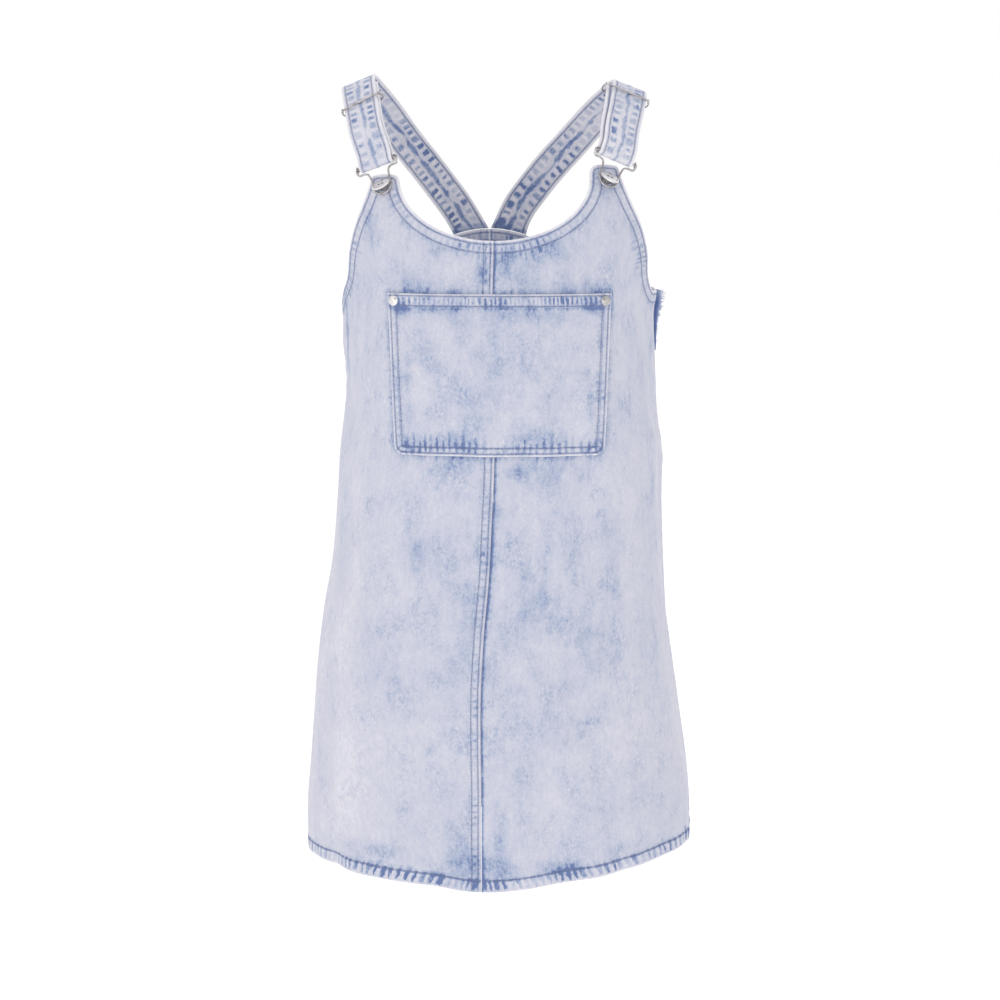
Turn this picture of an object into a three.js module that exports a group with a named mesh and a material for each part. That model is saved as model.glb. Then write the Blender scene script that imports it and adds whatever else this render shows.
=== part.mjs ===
// Denim pinafore mini dress in the form it has when worn: hollow, with its neck, armholes and hem open.
// Millimetres, +Z up. The front faces -Y and the wearer's left is +X. The origin lies midway between
// the shoulders, at the height where the straps rest on them.
import * as THREE from 'three';

const { lerp, degToRad, smoothstep } = THREE.MathUtils;

const LEFT = 1;
const RIGHT = -1;

// Cloth and seams
const WALL = 1.5;
const GAP = 0.3;
const FELLED = { width: 11, rise: 0.7, edge: 1.5 };
const HEM = { z: -782, depth: 13, rise: 0.9, edge: 1.5, tilt: 7, sideLift: 11.5, roundLift: 12 };
const SIDE_SEAM = 90;
const ROWS = 22;

// The form that the cloth hangs on: half width, depth to the front and to the back, and the place of
// its middle, at each height
const FORM = [
  { z: -60, half: 158, front: 78, back: 84, centre: 2 },
  { z: -100, half: 161, front: 97, back: 93, centre: 2 },
  { z: -160, half: 161, front: 114, back: 100, centre: 3 },
  { z: -225, half: 152, front: 123, back: 104, centre: 1.5 },
  { z: -270, half: 153, front: 127, back: 101, centre: 2 },
  { z: -310, half: 153, front: 128, back: 99, centre: 4 },
  { z: -370, half: 159, front: 127, back: 99, centre: 3 },
  { z: -420, half: 160.5, front: 126, back: 103, centre: 1 },
  { z: -475, half: 164, front: 127, back: 109, centre: 0 },
  { z: -525, half: 170.5, front: 128, back: 115, centre: -2 },
  { z: -580, half: 177.5, front: 130, back: 121, centre: -2 },
  { z: -630, half: 183, front: 132, back: 126, centre: 0 },
  { z: -680, half: 189, front: 134, back: 129, centre: 2 },
  { z: -725, half: 193.5, front: 135, back: 131, centre: 2 },
  { z: -760, half: 194, front: 135, back: 131, centre: 2 },
  { z: -795, half: 190.5, front: 133.5, back: 130, centre: 1 },
];
const SQUARENESS = 0.035;

// Largest folds, each a soft ridge (or trough, where the depth is negative) along a straight line on
// the cloth, from an angle round the body and a height to another angle and height
const FOLDS = [
  { fromAngle: -13, fromZ: -600, toAngle: -17, toZ: -800, width: 16, depth: -3.4 },
  { fromAngle: 24, fromZ: -560, toAngle: 30, toZ: -800, width: 24, depth: 2.2 },
  { fromAngle: -34, fromZ: -380, toAngle: -40, toZ: -800, width: 26, depth: 2.4 },
  { fromAngle: 52, fromZ: -330, toAngle: 56, toZ: -760, width: 22, depth: -2.0 },
  { fromAngle: -64, fromZ: -420, toAngle: -62, toZ: -800, width: 20, depth: -2.2 },
  { fromAngle: 60, fromZ: -236, toAngle: 84, toZ: -300, width: 11, depth: -2.2 },
  { fromAngle: 66, fromZ: -300, toAngle: 100, toZ: -336, width: 12, depth: -2.6 },
  { fromAngle: -66, fromZ: -250, toAngle: -96, toZ: -305, width: 12, depth: -2.4 },
  { fromAngle: 128, fromZ: -300, toAngle: 136, toZ: -800, width: 26, depth: -3.2 },
  { fromAngle: 150, fromZ: -430, toAngle: 154, toZ: -800, width: 22, depth: 2.6 },
  { fromAngle: 206, fromZ: -360, toAngle: 202, toZ: -800, width: 24, depth: -2.8 },
  { fromAngle: 232, fromZ: -420, toAngle: 228, toZ: -800, width: 26, depth: 2.8 },
  { fromAngle: 168, fromZ: -318, toAngle: 200, toZ: -340, width: 14, depth: -2.4 },
];

// Cloth round the body in one degree, on average and straight in front or behind
const MM_PER_DEGREE = 2.75;
const MM_PER_DEGREE_MIDDLE = 3.8;

// Neckline, bib tips and armholes of the front
const SCOOP = { half: 89, z: -100, depth: 57, columns: 8 };
const TIP = { inner: 89, outer: 117, corner: 6 };
const TIP_TOP = { [LEFT]: -88, [RIGHT]: -97 };
const UNDERARM = { [LEFT]: -210, [RIGHT]: -221 };
const FRONT_ARMHOLE = [
  { angle: 47, z: -124 },
  { angle: 52, z: -143 },
  { angle: 57.5, z: -168 },
  { angle: 62, z: -192 },
  { angle: 70, z: -206 },
];
const CENTRE_FRONT = { drift: -3.4, from: -380, to: -690 };

// Back: a short curved top edge, off the middle by a few millimetres, between two low armholes
const BACK_TOP = { centre: -10, half: 41, z: -155, fall: 8, columns: 5 };
const BACK_ARMHOLE = [
  { angle: 17, z: -171 },
  { angle: 27, z: -184 },
  { angle: 43, z: -198 },
  { angle: 62, z: -209 },
];

// Pocket over the centre-front seam
const POCKET = { middle: 5, topHalf: 103.5, bottomHalf: 97.5, topZ: -206, bottomZ: -357, corner: 9 };
const POCKET_CLOTH = { wall: 1.4, mouth: 13, mouthRise: 0.8, columns: 14, rows: 6 };

// Straps, with stations from behind the shoulder blade, over the shoulder, towards the buckle
const STRAP = {
  width: 34.5,
  thick: 2.4,
  clear: 1,
  run: 12,
  settleFrom: 0.72,
  steps: 34,
  foldSteps: 5,
  across: 4,
};
const STRAP_RETURN = { from: 0.7, gap: 0.8, slip: { [LEFT]: 6, [RIGHT]: 1.5 }, foldSlip: 0.35 };
const STRAP_ROUTE = {
  [LEFT]: [
    { x: 19, y: 96.5, z: -133 },
    { x: 48, y: 91, z: -96 },
    { x: 75, y: 79, z: -66 },
    { x: 100, y: 57, z: -38 },
    { x: 118, y: 28, z: -21 },
    { x: 127, y: 0, z: -14.5 },
    { x: 127.5, y: -26, z: -18 },
    { x: 124.5, y: -50, z: -33 },
    { x: 119.5, y: -70, z: -55 },
  ],
  [RIGHT]: [
    { x: -43, y: 96.5, z: -133 },
    { x: -71, y: 91, z: -96 },
    { x: -94, y: 79, z: -66 },
    { x: -114, y: 57, z: -36 },
    { x: -127, y: 28, z: -18 },
    { x: -133, y: 0, z: -9.5 },
    { x: -132, y: -26, z: -14 },
    { x: -127.5, y: -51, z: -31 },
    { x: -121.5, y: -71, z: -56 },
  ],
};
const SHOULDER = { slope: 0.3, core: -110 };

// Hardware
const BUTTON = {
  place: { [LEFT]: { x: 105.5, z: -100.5 }, [RIGHT]: { x: -104, z: -107 } },
  tilt: 9,
  profile: [[0, 0], [5, 0], [5, 0.7], [2.4, 1.3], [2.4, 4.6], [8.6, 5.0], [9.4, 5.6], [9.4, 6.7],
    [8.7, 7.3], [2.6, 7.1], [1.8, 6.4], [0, 6.4]],
};
const BUCKLE = {
  wire: 2.2,
  barHalf: 21.5,
  reach: 20.5,
  lift: 5.5,
  loop: 9,
  loopClear: 2.1,
  shoulder: 10,
  turn: 2.8,
};
const BUCKLE_LEAN = { [LEFT]: 23, [RIGHT]: 20 };
const SLIDER = {
  wire: 1.9,
  margin: 2.6,
  bend: 3,
  bulge: 0.6,
  slack: 0.7,
  at: { [LEFT]: 0.76, [RIGHT]: 0.79 },
  turn: { [LEFT]: 0, [RIGHT]: 5 },
};
const RIVET = {
  x: 97.5,
  z: -213,
  profile: [[0, 0], [4.4, 0], [4.2, 0.7], [3.2, 1.6], [1.6, 2.1], [0, 2.2]],
};
const WIRE_SIDES = 6;

// Strip of seam allowance under the left arm: how far it stands out, at shares of its height
const FLAP = { angle: 94, top: -209.5, bottom: -270, reach: 7, thick: 1.4, bend: 2.2, clear: 0.6 };
const FLAP_EDGE = [
  { down: 0, out: 0.72 },
  { down: 0.12, out: 1 },
  { down: 0.3, out: 0.86 },
  { down: 0.55, out: 0.5 },
  { down: 0.8, out: 0.22 },
  { down: 1, out: 0.06 },
];

const denim = () => new THREE.MeshStandardMaterial({ color: 0xcdd2e4, roughness: 0.95, metalness: 0 });
const innerDenim = () => new THREE.MeshStandardMaterial({ color: 0x6c80b4, roughness: 0.95, metalness: 0 });
const steel = () => new THREE.MeshStandardMaterial({ color: 0xc9c9cc, roughness: 0.22, metalness: 1 });

// Value of one column of a table at a height, on a smooth curve through its rows
function tableAt(rows, z, column) {
  const last = rows.length - 1;
  if (z >= rows[0].z) return rows[0][column];
  if (z <= rows[last].z) return rows[last][column];
  const i = rows.findIndex((row) => row.z < z) - 1;
  const slopeAt = (k) => {
    const above = rows[Math.max(k - 1, 0)];
    const below = rows[Math.min(k + 1, last)];
    return (below[column] - above[column]) / (below.z - above.z);
  };
  const span = rows[i + 1].z - rows[i].z;
  const t = (z - rows[i].z) / span;
  const start = rows[i][column] * (1 + 2 * t) * (1 - t) ** 2 + slopeAt(i) * span * t * (1 - t) ** 2;
  const end = rows[i + 1][column] * t * t * (3 - 2 * t) + slopeAt(i + 1) * span * t * t * (t - 1);
  return start + end;
}

// Point of the body form: the angle is 0 at the front, 90 at the wearer's left and 180 at the back
function formPoint(angle, z) {
  const turn = degToRad(angle);
  const depth = tableAt(FORM, z, Math.cos(turn) > 0 ? 'front' : 'back');
  const across = (Math.sin(turn) + SQUARENESS * Math.sin(3 * turn)) / (1 - SQUARENESS);
  const along = (Math.cos(turn) - SQUARENESS * Math.cos(3 * turn)) / (1 - SQUARENESS);
  const x = tableAt(FORM, z, 'centre') + tableAt(FORM, z, 'half') * across;
  return new THREE.Vector3(x, -depth * along, z);
}

// Direction straight out of the body form
function formNormal(angle, z) {
  const round = formPoint(angle + 0.5, z).sub(formPoint(angle - 0.5, z));
  const up = formPoint(angle, z + 1).sub(formPoint(angle, z - 1));
  return round.cross(up).normalize();
}

// How far the folds lift the cloth off the form at a place
function foldRise(angle, z) {
  let rise = 0;
  for (const fold of FOLDS) {
    const turn = fold.toAngle - fold.fromAngle;
    const along = new THREE.Vector2(turn * MM_PER_DEGREE, fold.toZ - fold.fromZ);
    for (const wrapped of [angle - 360, angle, angle + 360]) {
      const place = new THREE.Vector2((wrapped - fold.fromAngle) * MM_PER_DEGREE, z - fold.fromZ);
      const share = THREE.MathUtils.clamp(place.dot(along) / along.lengthSq(), 0, 1);
      const off = place.clone().addScaledVector(along, -share).length();
      const strength = fold.toZ < HEM.z ? smoothstep(share, 0, 0.5) : Math.sin(Math.PI * share);
      rise += fold.depth * strength * Math.exp(-((off / fold.width) ** 2));
    }
  }
  return rise;
}

// Point of the cloth, a distance out from the middle of its wall
function clothPoint(angle, z, out) {
  return formPoint(angle, z).addScaledVector(formNormal(angle, z), foldRise(angle, z) + out);
}

// Angle of the place on the front or back that has a given x
function angleAt(x, z, front) {
  let low = front ? -88 : 268;
  let high = front ? 88 : 92;
  for (let i = 0; i < 40; i += 1) {
    const middle = (low + high) / 2;
    if (formPoint(middle, z).x < x) low = middle;
    else high = middle;
  }
  return (low + high) / 2;
}

// Height of the hem's edge: lowest at the centre seams, rounded up towards the sides
function hemZ(angle) {
  const side = Math.sin(degToRad(angle));
  const between = Math.abs(Math.sin(degToRad(2 * angle)));
  return HEM.z + HEM.tilt * side + HEM.sideLift * side ** 2 + HEM.roundLift * between;
}

// Closed solid between two equal grids of points, its border joined all round
function plateGeometry(outer, inner) {
  const columns = outer.length;
  const rows = outer[0].length;
  const positions = [];
  const indices = [];
  for (const grid of [outer, inner]) {
    for (const column of grid) {
      for (const point of column) positions.push(point.x, point.y, point.z);
    }
  }
  const at = (side, i, j) => side * columns * rows + i * rows + j;
  const quad = (a, b, c, d) => indices.push(a, b, c, a, c, d);
  for (let i = 0; i < columns - 1; i += 1) {
    for (let j = 0; j < rows - 1; j += 1) {
      quad(at(0, i, j), at(0, i, j + 1), at(0, i + 1, j + 1), at(0, i + 1, j));
      quad(at(1, i, j), at(1, i + 1, j), at(1, i + 1, j + 1), at(1, i, j + 1));
    }
    quad(at(0, i, 0), at(0, i + 1, 0), at(1, i + 1, 0), at(1, i, 0));
    quad(at(0, i + 1, rows - 1), at(0, i, rows - 1), at(1, i, rows - 1), at(1, i + 1, rows - 1));
  }
  for (let j = 0; j < rows - 1; j += 1) {
    quad(at(0, 0, j + 1), at(0, 0, j), at(1, 0, j), at(1, 0, j + 1));
    quad(at(0, columns - 1, j), at(0, columns - 1, j + 1), at(1, columns - 1, j + 1), at(1, columns - 1, j));
  }
  return facingOut(positions, indices);
}

// Indexed geometry whose faces point out of the solid, whichever way they were listed
function facingOut(positions, indices) {
  const corner = (index) => new THREE.Vector3().fromArray(positions, 3 * index);
  let volume = 0;
  for (let i = 0; i < indices.length; i += 3) {
    const [a, b, c] = indices.slice(i, i + 3).map(corner);
    volume += a.dot(b.cross(c));
  }
  const geometry = new THREE.BufferGeometry();
  geometry.setAttribute('position', new THREE.Float32BufferAttribute(positions, 3));
  geometry.setIndex(volume < 0 ? [...indices].reverse() : indices);
  geometry.computeVertexNormals();
  return geometry;
}

// Columns of a half front from the centre-front seam to the side seam: where each meets the top edge
// and the hem
function frontColumns(side) {
  const column = (top, felled) => ({ top, felled });
  const at = (x, z, felled = false) => column({ angle: side * angleAt(side * x, z, true), z }, felled);
  const scoopZ = (x) => SCOOP.z - SCOOP.depth * Math.sqrt(1 - (x / SCOOP.half) ** 2);
  const columns = [];
  if (side === RIGHT) {
    for (const x of [GAP / 2, FELLED.width]) columns.push(at(x, scoopZ(x), true));
    columns.push(at(FELLED.width + FELLED.edge, scoopZ(FELLED.width + FELLED.edge)));
  } else {
    columns.push(at(GAP / 2, scoopZ(GAP / 2)));
  }
  for (let i = 2; i <= SCOOP.columns; i += 1) {
    const x = SCOOP.half * Math.sin(degToRad((i / SCOOP.columns) * 84));
    columns.push(at(x, scoopZ(x)));
  }
  const tipTop = TIP_TOP[side];
  columns.push(at(TIP.inner, tipTop - TIP.corner));
  columns.push(at(TIP.inner + 0.3 * TIP.corner, tipTop - 0.3 * TIP.corner));
  columns.push(at(TIP.inner + TIP.corner, tipTop));
  columns.push(at(TIP.outer - TIP.corner, tipTop - 0.5));
  columns.push(at(TIP.outer - 0.3 * TIP.corner, tipTop - 0.4 * TIP.corner));
  columns.push(at(TIP.outer, tipTop - 1.4 * TIP.corner));
  for (const { angle, z } of FRONT_ARMHOLE) columns.push(column({ angle, z }, false));
  const seam = SIDE_SEAM - GAP / 2 / MM_PER_DEGREE;
  columns.push(column({ angle: seam - 9, z: UNDERARM[side] + 1.5 }, false));
  columns.push(column({ angle: seam, z: UNDERARM[side] }, false));
  return columns;
}

// Columns of a half back from the centre-back seam to the side seam, with angles from the middle
function backColumns(side) {
  const seamX = side === RIGHT ? [GAP / 2, FELLED.width, FELLED.width + FELLED.edge] : [GAP / 2];
  const backZ = (offset) => BACK_TOP.z - BACK_TOP.fall * (offset / BACK_TOP.half) ** 2;
  const columns = [];
  const add = (offset, z, felled) => {
    const x = BACK_TOP.centre + side * offset;
    const fromMiddle = side * (180 - angleAt(x, z, false));
    columns.push({ top: { angle: fromMiddle, z }, felled });
  };
  seamX.forEach((offset, i) => add(offset, backZ(offset), side === RIGHT && i < 2));
  for (let i = 2; i <= BACK_TOP.columns; i += 1) {
    const offset = (BACK_TOP.half - 1) * (i / BACK_TOP.columns);
    add(offset, backZ(offset), false);
  }
  add(BACK_TOP.half, backZ(BACK_TOP.half) - 2, false);
  const shift = (side * BACK_TOP.centre) / MM_PER_DEGREE;
  for (const { angle, z } of BACK_ARMHOLE) columns.push({ top: { angle: angle + shift, z }, felled: false });
  const seam = SIDE_SEAM - GAP / 2 / MM_PER_DEGREE;
  columns.push({ top: { angle: seam - 12, z: UNDERARM[side] + 1.5 }, felled: false });
  columns.push({ top: { angle: seam, z: UNDERARM[side] }, felled: false });
  return columns;
}

// Half front or half back: a wall between its top edge and the hem, thicker along the hem and along
// the felled seam. Its columns are straight on the cloth but for the drift of the centre-front seam.
function panelGeometry(columns, side, front) {
  const seamStart = GAP / 2 / MM_PER_DEGREE;
  const felledCount = columns.filter((column) => column.felled).length;
  const felledStops = [
    seamStart,
    FELLED.width / MM_PER_DEGREE_MIDDLE,
    (FELLED.width + FELLED.edge) / MM_PER_DEGREE_MIDDLE,
  ];
  const hemAngles = columns.map((column, i) => {
    if (i < felledStops.length && felledCount > 0) return felledStops[i];
    return lerp(seamStart, SIDE_SEAM - seamStart, i / (columns.length - 1));
  });
  const turnTo = (fromMiddle, share, z) => {
    const drift = front ? CENTRE_FRONT.drift * smoothstep(-z, -CENTRE_FRONT.from, -CENTRE_FRONT.to) : 0;
    return (front ? side * fromMiddle : 180 - side * fromMiddle) + drift * (1 - share);
  };
  const build = (face) => columns.map((column, i) => {
    const hem = hemZ(turnTo(hemAngles[i], i / (columns.length - 1), HEM.z));
    const height = column.top.z - hem;
    const shares = [];
    const fromHem = [HEM.depth + HEM.edge, HEM.depth, 0];
    for (let row = 0; row < ROWS; row += 1) shares.push((row / ROWS) * (1 - fromHem[0] / height));
    for (const distance of fromHem) shares.push(1 - distance / height);
    return shares.map((share, row) => {
      const z = lerp(column.top.z, hem, share);
      const fromMiddle = lerp(column.top.angle, hemAngles[i], share);
      const angle = turnTo(fromMiddle, i / (columns.length - 1), z);
      const hemRise = row > ROWS ? HEM.rise : 0;
      const felledRise = column.felled ? FELLED.rise : 0;
      const out = face > 0 ? WALL / 2 + Math.max(hemRise, felledRise) : -WALL / 2;
      return clothPoint(angle, z, out);
    });
  });
  return plateGeometry(build(1), build(-1));
}

// Patch pocket: its points are the front's own, moved out
function pocketGeometry() {
  const height = POCKET.topZ - POCKET.bottomZ;
  const drops = [0, POCKET_CLOTH.mouth, POCKET_CLOTH.mouth + 1];
  for (let row = 1; row <= POCKET_CLOTH.rows; row += 1) {
    drops.push(lerp(drops[2], height - POCKET.corner, row / POCKET_CLOTH.rows));
  }
  for (const share of [0.3, 0.6, 0.85, 1]) {
    drops.push(height - POCKET.corner * (1 - Math.sin((share * Math.PI) / 2)));
  }
  const inset = (drop) => {
    const past = drop - (height - POCKET.corner);
    return past <= 0 ? 0 : POCKET.corner - Math.sqrt(Math.max(POCKET.corner ** 2 - past ** 2, 0));
  };
  const base = WALL / 2 + FELLED.rise + GAP;
  const build = (face) => {
    const grid = [];
    for (let i = 0; i <= POCKET_CLOTH.columns; i += 1) {
      const across = (2 * i) / POCKET_CLOTH.columns - 1;
      grid.push(drops.map((drop, row) => {
        const half = lerp(POCKET.topHalf, POCKET.bottomHalf, drop / height) - inset(drop);
        const z = POCKET.topZ - drop;
        const mouth = row < 2 ? POCKET_CLOTH.mouthRise : 0;
        const out = face > 0 ? base + POCKET_CLOTH.wall + mouth : base;
        return clothPoint(angleAt(POCKET.middle + across * half, z, true), z, out);
      }));
    }
    return grid;
  };
  return plateGeometry(build(1), build(-1));
}

// Direction out of the shoulder, chest or shoulder blade at a place on a strap
function strapNormal(point) {
  const up = Math.max(0, point.z - SHOULDER.core);
  return new THREE.Vector3(SHOULDER.slope * point.x, point.y, up).normalize();
}

// Place of a bib button on the cloth, with the cloth's outward direction and its upward direction
function buttonFrame(side) {
  const { x, z } = BUTTON.place[side];
  const angle = angleAt(x, z, true);
  const normal = formNormal(angle, z);
  const lean = degToRad(BUCKLE_LEAN[side]) * side;
  const up = new THREE.Vector3(Math.sin(lean), 0, Math.cos(lean));
  up.addScaledVector(normal, -up.dot(normal)).normalize();
  return { point: clothPoint(angle, z, WALL / 2), normal, up, across: up.clone().cross(normal).normalize() };
}

// Middle of the buckle's bar: straight up the cloth from the button, standing off it
function barCentre(side) {
  const { point, normal, up } = buttonFrame(side);
  return point.clone().addScaledVector(up, BUCKLE.reach).addScaledVector(normal, BUCKLE.lift);
}

// Stations of a strap in order: its middle line, its direction across and the way its face points.
// It comes over the shoulder, turns round the buckle's bar and runs back up under itself.
function strapStations(side) {
  const foldRadius = BUCKLE.wire / 2 + GAP + STRAP.thick / 2;
  const bar = barCentre(side);
  const frame = buttonFrame(side);
  const end = bar.clone().addScaledVector(frame.normal, foldRadius);
  const route = STRAP_ROUTE[side].map(({ x, y, z }) => new THREE.Vector3(x, y, z));
  route.push(end.clone().addScaledVector(frame.up, STRAP.run), end);
  const curve = new THREE.CatmullRomCurve3(route, false, 'centripetal');
  const stations = [];
  for (let i = 0; i <= STRAP.steps; i += 1) {
    const middle = curve.getPointAt(i / STRAP.steps);
    const along = curve.getTangentAt(i / STRAP.steps);
    const settled = smoothstep(i / STRAP.steps, STRAP.settleFrom, 1);
    const normal = strapNormal(middle).lerp(frame.normal, settled);
    along.lerp(frame.up.clone().negate(), settled).normalize();
    normal.addScaledVector(along, -normal.dot(along)).normalize();
    stations.push({ middle, normal, along, across: along.clone().cross(normal).normalize() });
  }
  const over = stations.slice(Math.round(STRAP.steps * STRAP_RETURN.from));
  const last = stations[stations.length - 1];
  const inward = -side * Math.sign(last.across.x) * STRAP_RETURN.slip[side];
  const shifted = (point, across, share) => point.addScaledVector(across, inward * share);
  for (let i = 1; i <= STRAP.foldSteps; i += 1) {
    const share = i / (STRAP.foldSteps + 1);
    const turn = share * Math.PI;
    const normal = last.normal.clone().multiplyScalar(Math.cos(turn));
    normal.addScaledVector(last.along, Math.sin(turn));
    const middle = bar.clone().addScaledVector(normal, foldRadius);
    shifted(middle, last.across, STRAP_RETURN.foldSlip * share);
    stations.push({ middle, normal, across: last.across });
  }
  const closeGap = STRAP.thick + STRAP_RETURN.gap;
  over.reverse().forEach(({ middle, normal, across }, i) => {
    const share = i / (over.length - 1);
    const depth = lerp(2 * foldRadius, closeGap, smoothstep(share, 0, 0.6));
    const under = middle.clone().addScaledVector(normal, -depth);
    shifted(under, across, lerp(STRAP_RETURN.foldSlip, 1, share));
    stations.push({ middle: under, normal: normal.clone().negate(), across });
  });
  return stations;
}

// Strap end behind the neck, cut along the back's top edge
function strapEndPoint(side, share, out) {
  const offset = lerp(STRAP.clear, BACK_TOP.half - 4, share);
  const x = BACK_TOP.centre + side * offset;
  const z = BACK_TOP.z - BACK_TOP.fall * (offset / BACK_TOP.half) ** 2 + 2 * GAP;
  return clothPoint(angleAt(x, z, false), z, out);
}

function strapGeometry(side) {
  const stations = strapStations(side);
  const build = (face) => {
    const grid = [];
    for (let i = 0; i <= STRAP.across; i += 1) {
      const share = i / STRAP.across;
      const column = [strapEndPoint(side, side === LEFT ? 1 - share : share, (face * STRAP.thick) / 2)];
      for (const { middle, normal, across } of stations) {
        const point = middle.clone().addScaledVector(across, (share - 0.5) * STRAP.width);
        column.push(point.addScaledVector(normal, (face * STRAP.thick) / 2));
      }
      grid.push(column);
    }
    return grid;
  };
  return plateGeometry(build(1), build(-1));
}

// Closed ring of round wire along a loop of points
function wireRing(points, wire, steps) {
  const curve = new THREE.CatmullRomCurve3(points, true, 'centripetal');
  const tube = new THREE.TubeGeometry(curve, steps, wire / 2, WIRE_SIDES, true);
  const positions = [];
  const indices = [];
  const source = tube.attributes.position;
  for (let ring = 0; ring < steps; ring += 1) {
    const start = ring * WIRE_SIDES;
    const ahead = ((ring + 1) % steps) * WIRE_SIDES;
    for (let k = 0; k < WIRE_SIDES; k += 1) {
      const index = ring * (WIRE_SIDES + 1) + k;
      const next = (k + 1) % WIRE_SIDES;
      positions.push(source.getX(index), source.getY(index), source.getZ(index));
      indices.push(start + k, start + next, ahead + next, start + k, ahead + next, ahead + k);
    }
  }
  return facingOut(positions, indices);
}

// Bent-wire buckle: the strap's bar, a turn at each end, shoulders, and a loop under the button's head
function buckleGeometry(side) {
  const frame = buttonFrame(side);
  const bar = barCentre(side);
  const down = frame.up.clone().negate();
  const lift = BUCKLE.lift - BUCKLE.wire / 2 - BUCKLE.loopClear;
  const half = [
    [0, 0], [9, 0], [BUCKLE.barHalf - 1.5, 0], [BUCKLE.barHalf + 0.7, BUCKLE.turn],
    [BUCKLE.barHalf - 1.5, 2 * BUCKLE.turn], [BUCKLE.shoulder + 2.5, 2 * BUCKLE.turn + 0.4],
    [BUCKLE.shoulder, 2 * BUCKLE.turn + 3],
  ];
  for (const turn of [0, 30, 60].map(degToRad)) {
    half.push([BUCKLE.loop * Math.cos(turn), BUCKLE.reach + BUCKLE.loop * Math.sin(turn)]);
  }
  const loop = [...half, [0, BUCKLE.reach + BUCKLE.loop]];
  for (const [across, drop] of half.slice(1).reverse()) loop.push([-across, drop]);
  const points = loop.map(([across, drop]) => {
    const settle = lift * smoothstep(drop, 2, BUCKLE.reach - 6);
    const point = bar.clone().addScaledVector(frame.across, across).addScaledVector(down, drop);
    return point.addScaledVector(frame.normal, -settle);
  });
  return wireRing(points, BUCKLE.wire, 72);
}

// Wire slide round both layers of the strap
function sliderGeometry(side) {
  const { middle, normal, across, along } = strapStations(side)[Math.round(STRAP.steps * SLIDER.at[side])];
  const turn = degToRad(SLIDER.turn[side]);
  const bar = across.clone().multiplyScalar(Math.cos(turn)).addScaledVector(along, Math.sin(turn));
  const towards = -side * Math.sign(across.x) * STRAP_RETURN.slip[side];
  const front = STRAP.thick / 2 + GAP + SLIDER.wire / 2;
  const back = -(1.5 * STRAP.thick + STRAP_RETURN.gap + GAP + SLIDER.wire / 2 + SLIDER.slack);
  const low = -STRAP.width / 2 - SLIDER.margin + Math.min(towards, 0);
  const high = STRAP.width / 2 + SLIDER.margin + Math.max(towards, 0);
  const depth = (front + back) / 2;
  const { bend, bulge } = SLIDER;
  const corner = 0.65 * bulge;
  const outline = [
    [low + bend, front], [0, front], [high - bend, front],
    [high - corner, lerp(front, depth, 0.3)], [high + bulge, depth], [high - corner, lerp(back, depth, 0.3)],
    [high - bend, back], [0, back], [low + bend, back],
    [low + corner, lerp(back, depth, 0.3)], [low - bulge, depth], [low + corner, lerp(front, depth, 0.3)],
  ];
  const points = outline.map(([sideways, out]) => {
    return middle.clone().addScaledVector(bar, sideways).addScaledVector(normal, out);
  });
  return wireRing(points, SLIDER.wire, 48);
}

// Turned piece about its own axis, set on a point and pointing along a direction
function turnedMesh(name, profile, segments, point, direction) {
  const outline = profile.map(([radius, height]) => new THREE.Vector2(radius, height));
  const lathe = new THREE.LatheGeometry(outline, segments);
  const mesh = new THREE.Mesh(lathe, steel());
  mesh.name = name;
  mesh.position.copy(point);
  mesh.quaternion.setFromUnitVectors(new THREE.Vector3(0, 1, 0), direction);
  return mesh;
}

function buttonMesh(side, name) {
  const { point, normal, up } = buttonFrame(side);
  const seat = point.clone().addScaledVector(normal, 2.5 * GAP);
  const tilt = degToRad(BUTTON.tilt);
  const axis = normal.clone().multiplyScalar(Math.cos(tilt)).addScaledVector(up, Math.sin(tilt));
  return turnedMesh(name, BUTTON.profile, 18, seat, axis);
}

function rivetMesh(side, name) {
  const x = POCKET.middle + side * RIVET.x;
  const angle = angleAt(x, RIVET.z, true);
  const out = WALL / 2 + FELLED.rise + GAP + POCKET_CLOTH.wall + POCKET_CLOTH.mouthRise + GAP;
  return turnedMesh(name, RIVET.profile, 12, clothPoint(angle, RIVET.z, out), formNormal(angle, RIVET.z));
}

// Strip of seam allowance that stands out under the left arm, widest at its top
function flapGeometry() {
  const build = (face) => [0, 0.5, 1].map((share) => FLAP_EDGE.map((edge) => {
    const z = lerp(FLAP.top, FLAP.bottom, edge.down);
    const root = clothPoint(FLAP.angle, z, WALL / 2 + GAP);
    const out = formNormal(FLAP.angle, z);
    const sideways = out.clone().cross(new THREE.Vector3(0, 0, 1));
    const bend = FLAP.bend * Math.sin(Math.PI * share * 0.6) * edge.out;
    const reach = share * edge.out * FLAP.reach + (share > 0 ? FLAP.clear : 0);
    return root.addScaledVector(out, reach).addScaledVector(sideways, bend + (face * FLAP.thick) / 2);
  }));
  return plateGeometry(build(1), build(-1));
}

const dress = new THREE.Group();

function addPiece(name, geometry, material) {
  const mesh = new THREE.Mesh(geometry, material);
  mesh.name = name;
  dress.add(mesh);
}

for (const [side, word] of [[LEFT, 'left'], [RIGHT, 'right']]) {
  addPiece(`front_${word}`, panelGeometry(frontColumns(side), side, true), denim());
  addPiece(`back_${word}`, panelGeometry(backColumns(side), side, false), denim());
  addPiece(`strap_${word}`, strapGeometry(side), denim());
  addPiece(`buckle_${word}`, buckleGeometry(side), steel());
  addPiece(`slider_${word}`, sliderGeometry(side), steel());
  dress.add(buttonMesh(side, `button_${word}`));
  dress.add(rivetMesh(side, `rivet_${word}`));
}
addPiece('bib_pocket', pocketGeometry(), denim());
addPiece('seam_flap', flapGeometry(), innerDenim());

export default dress;
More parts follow.
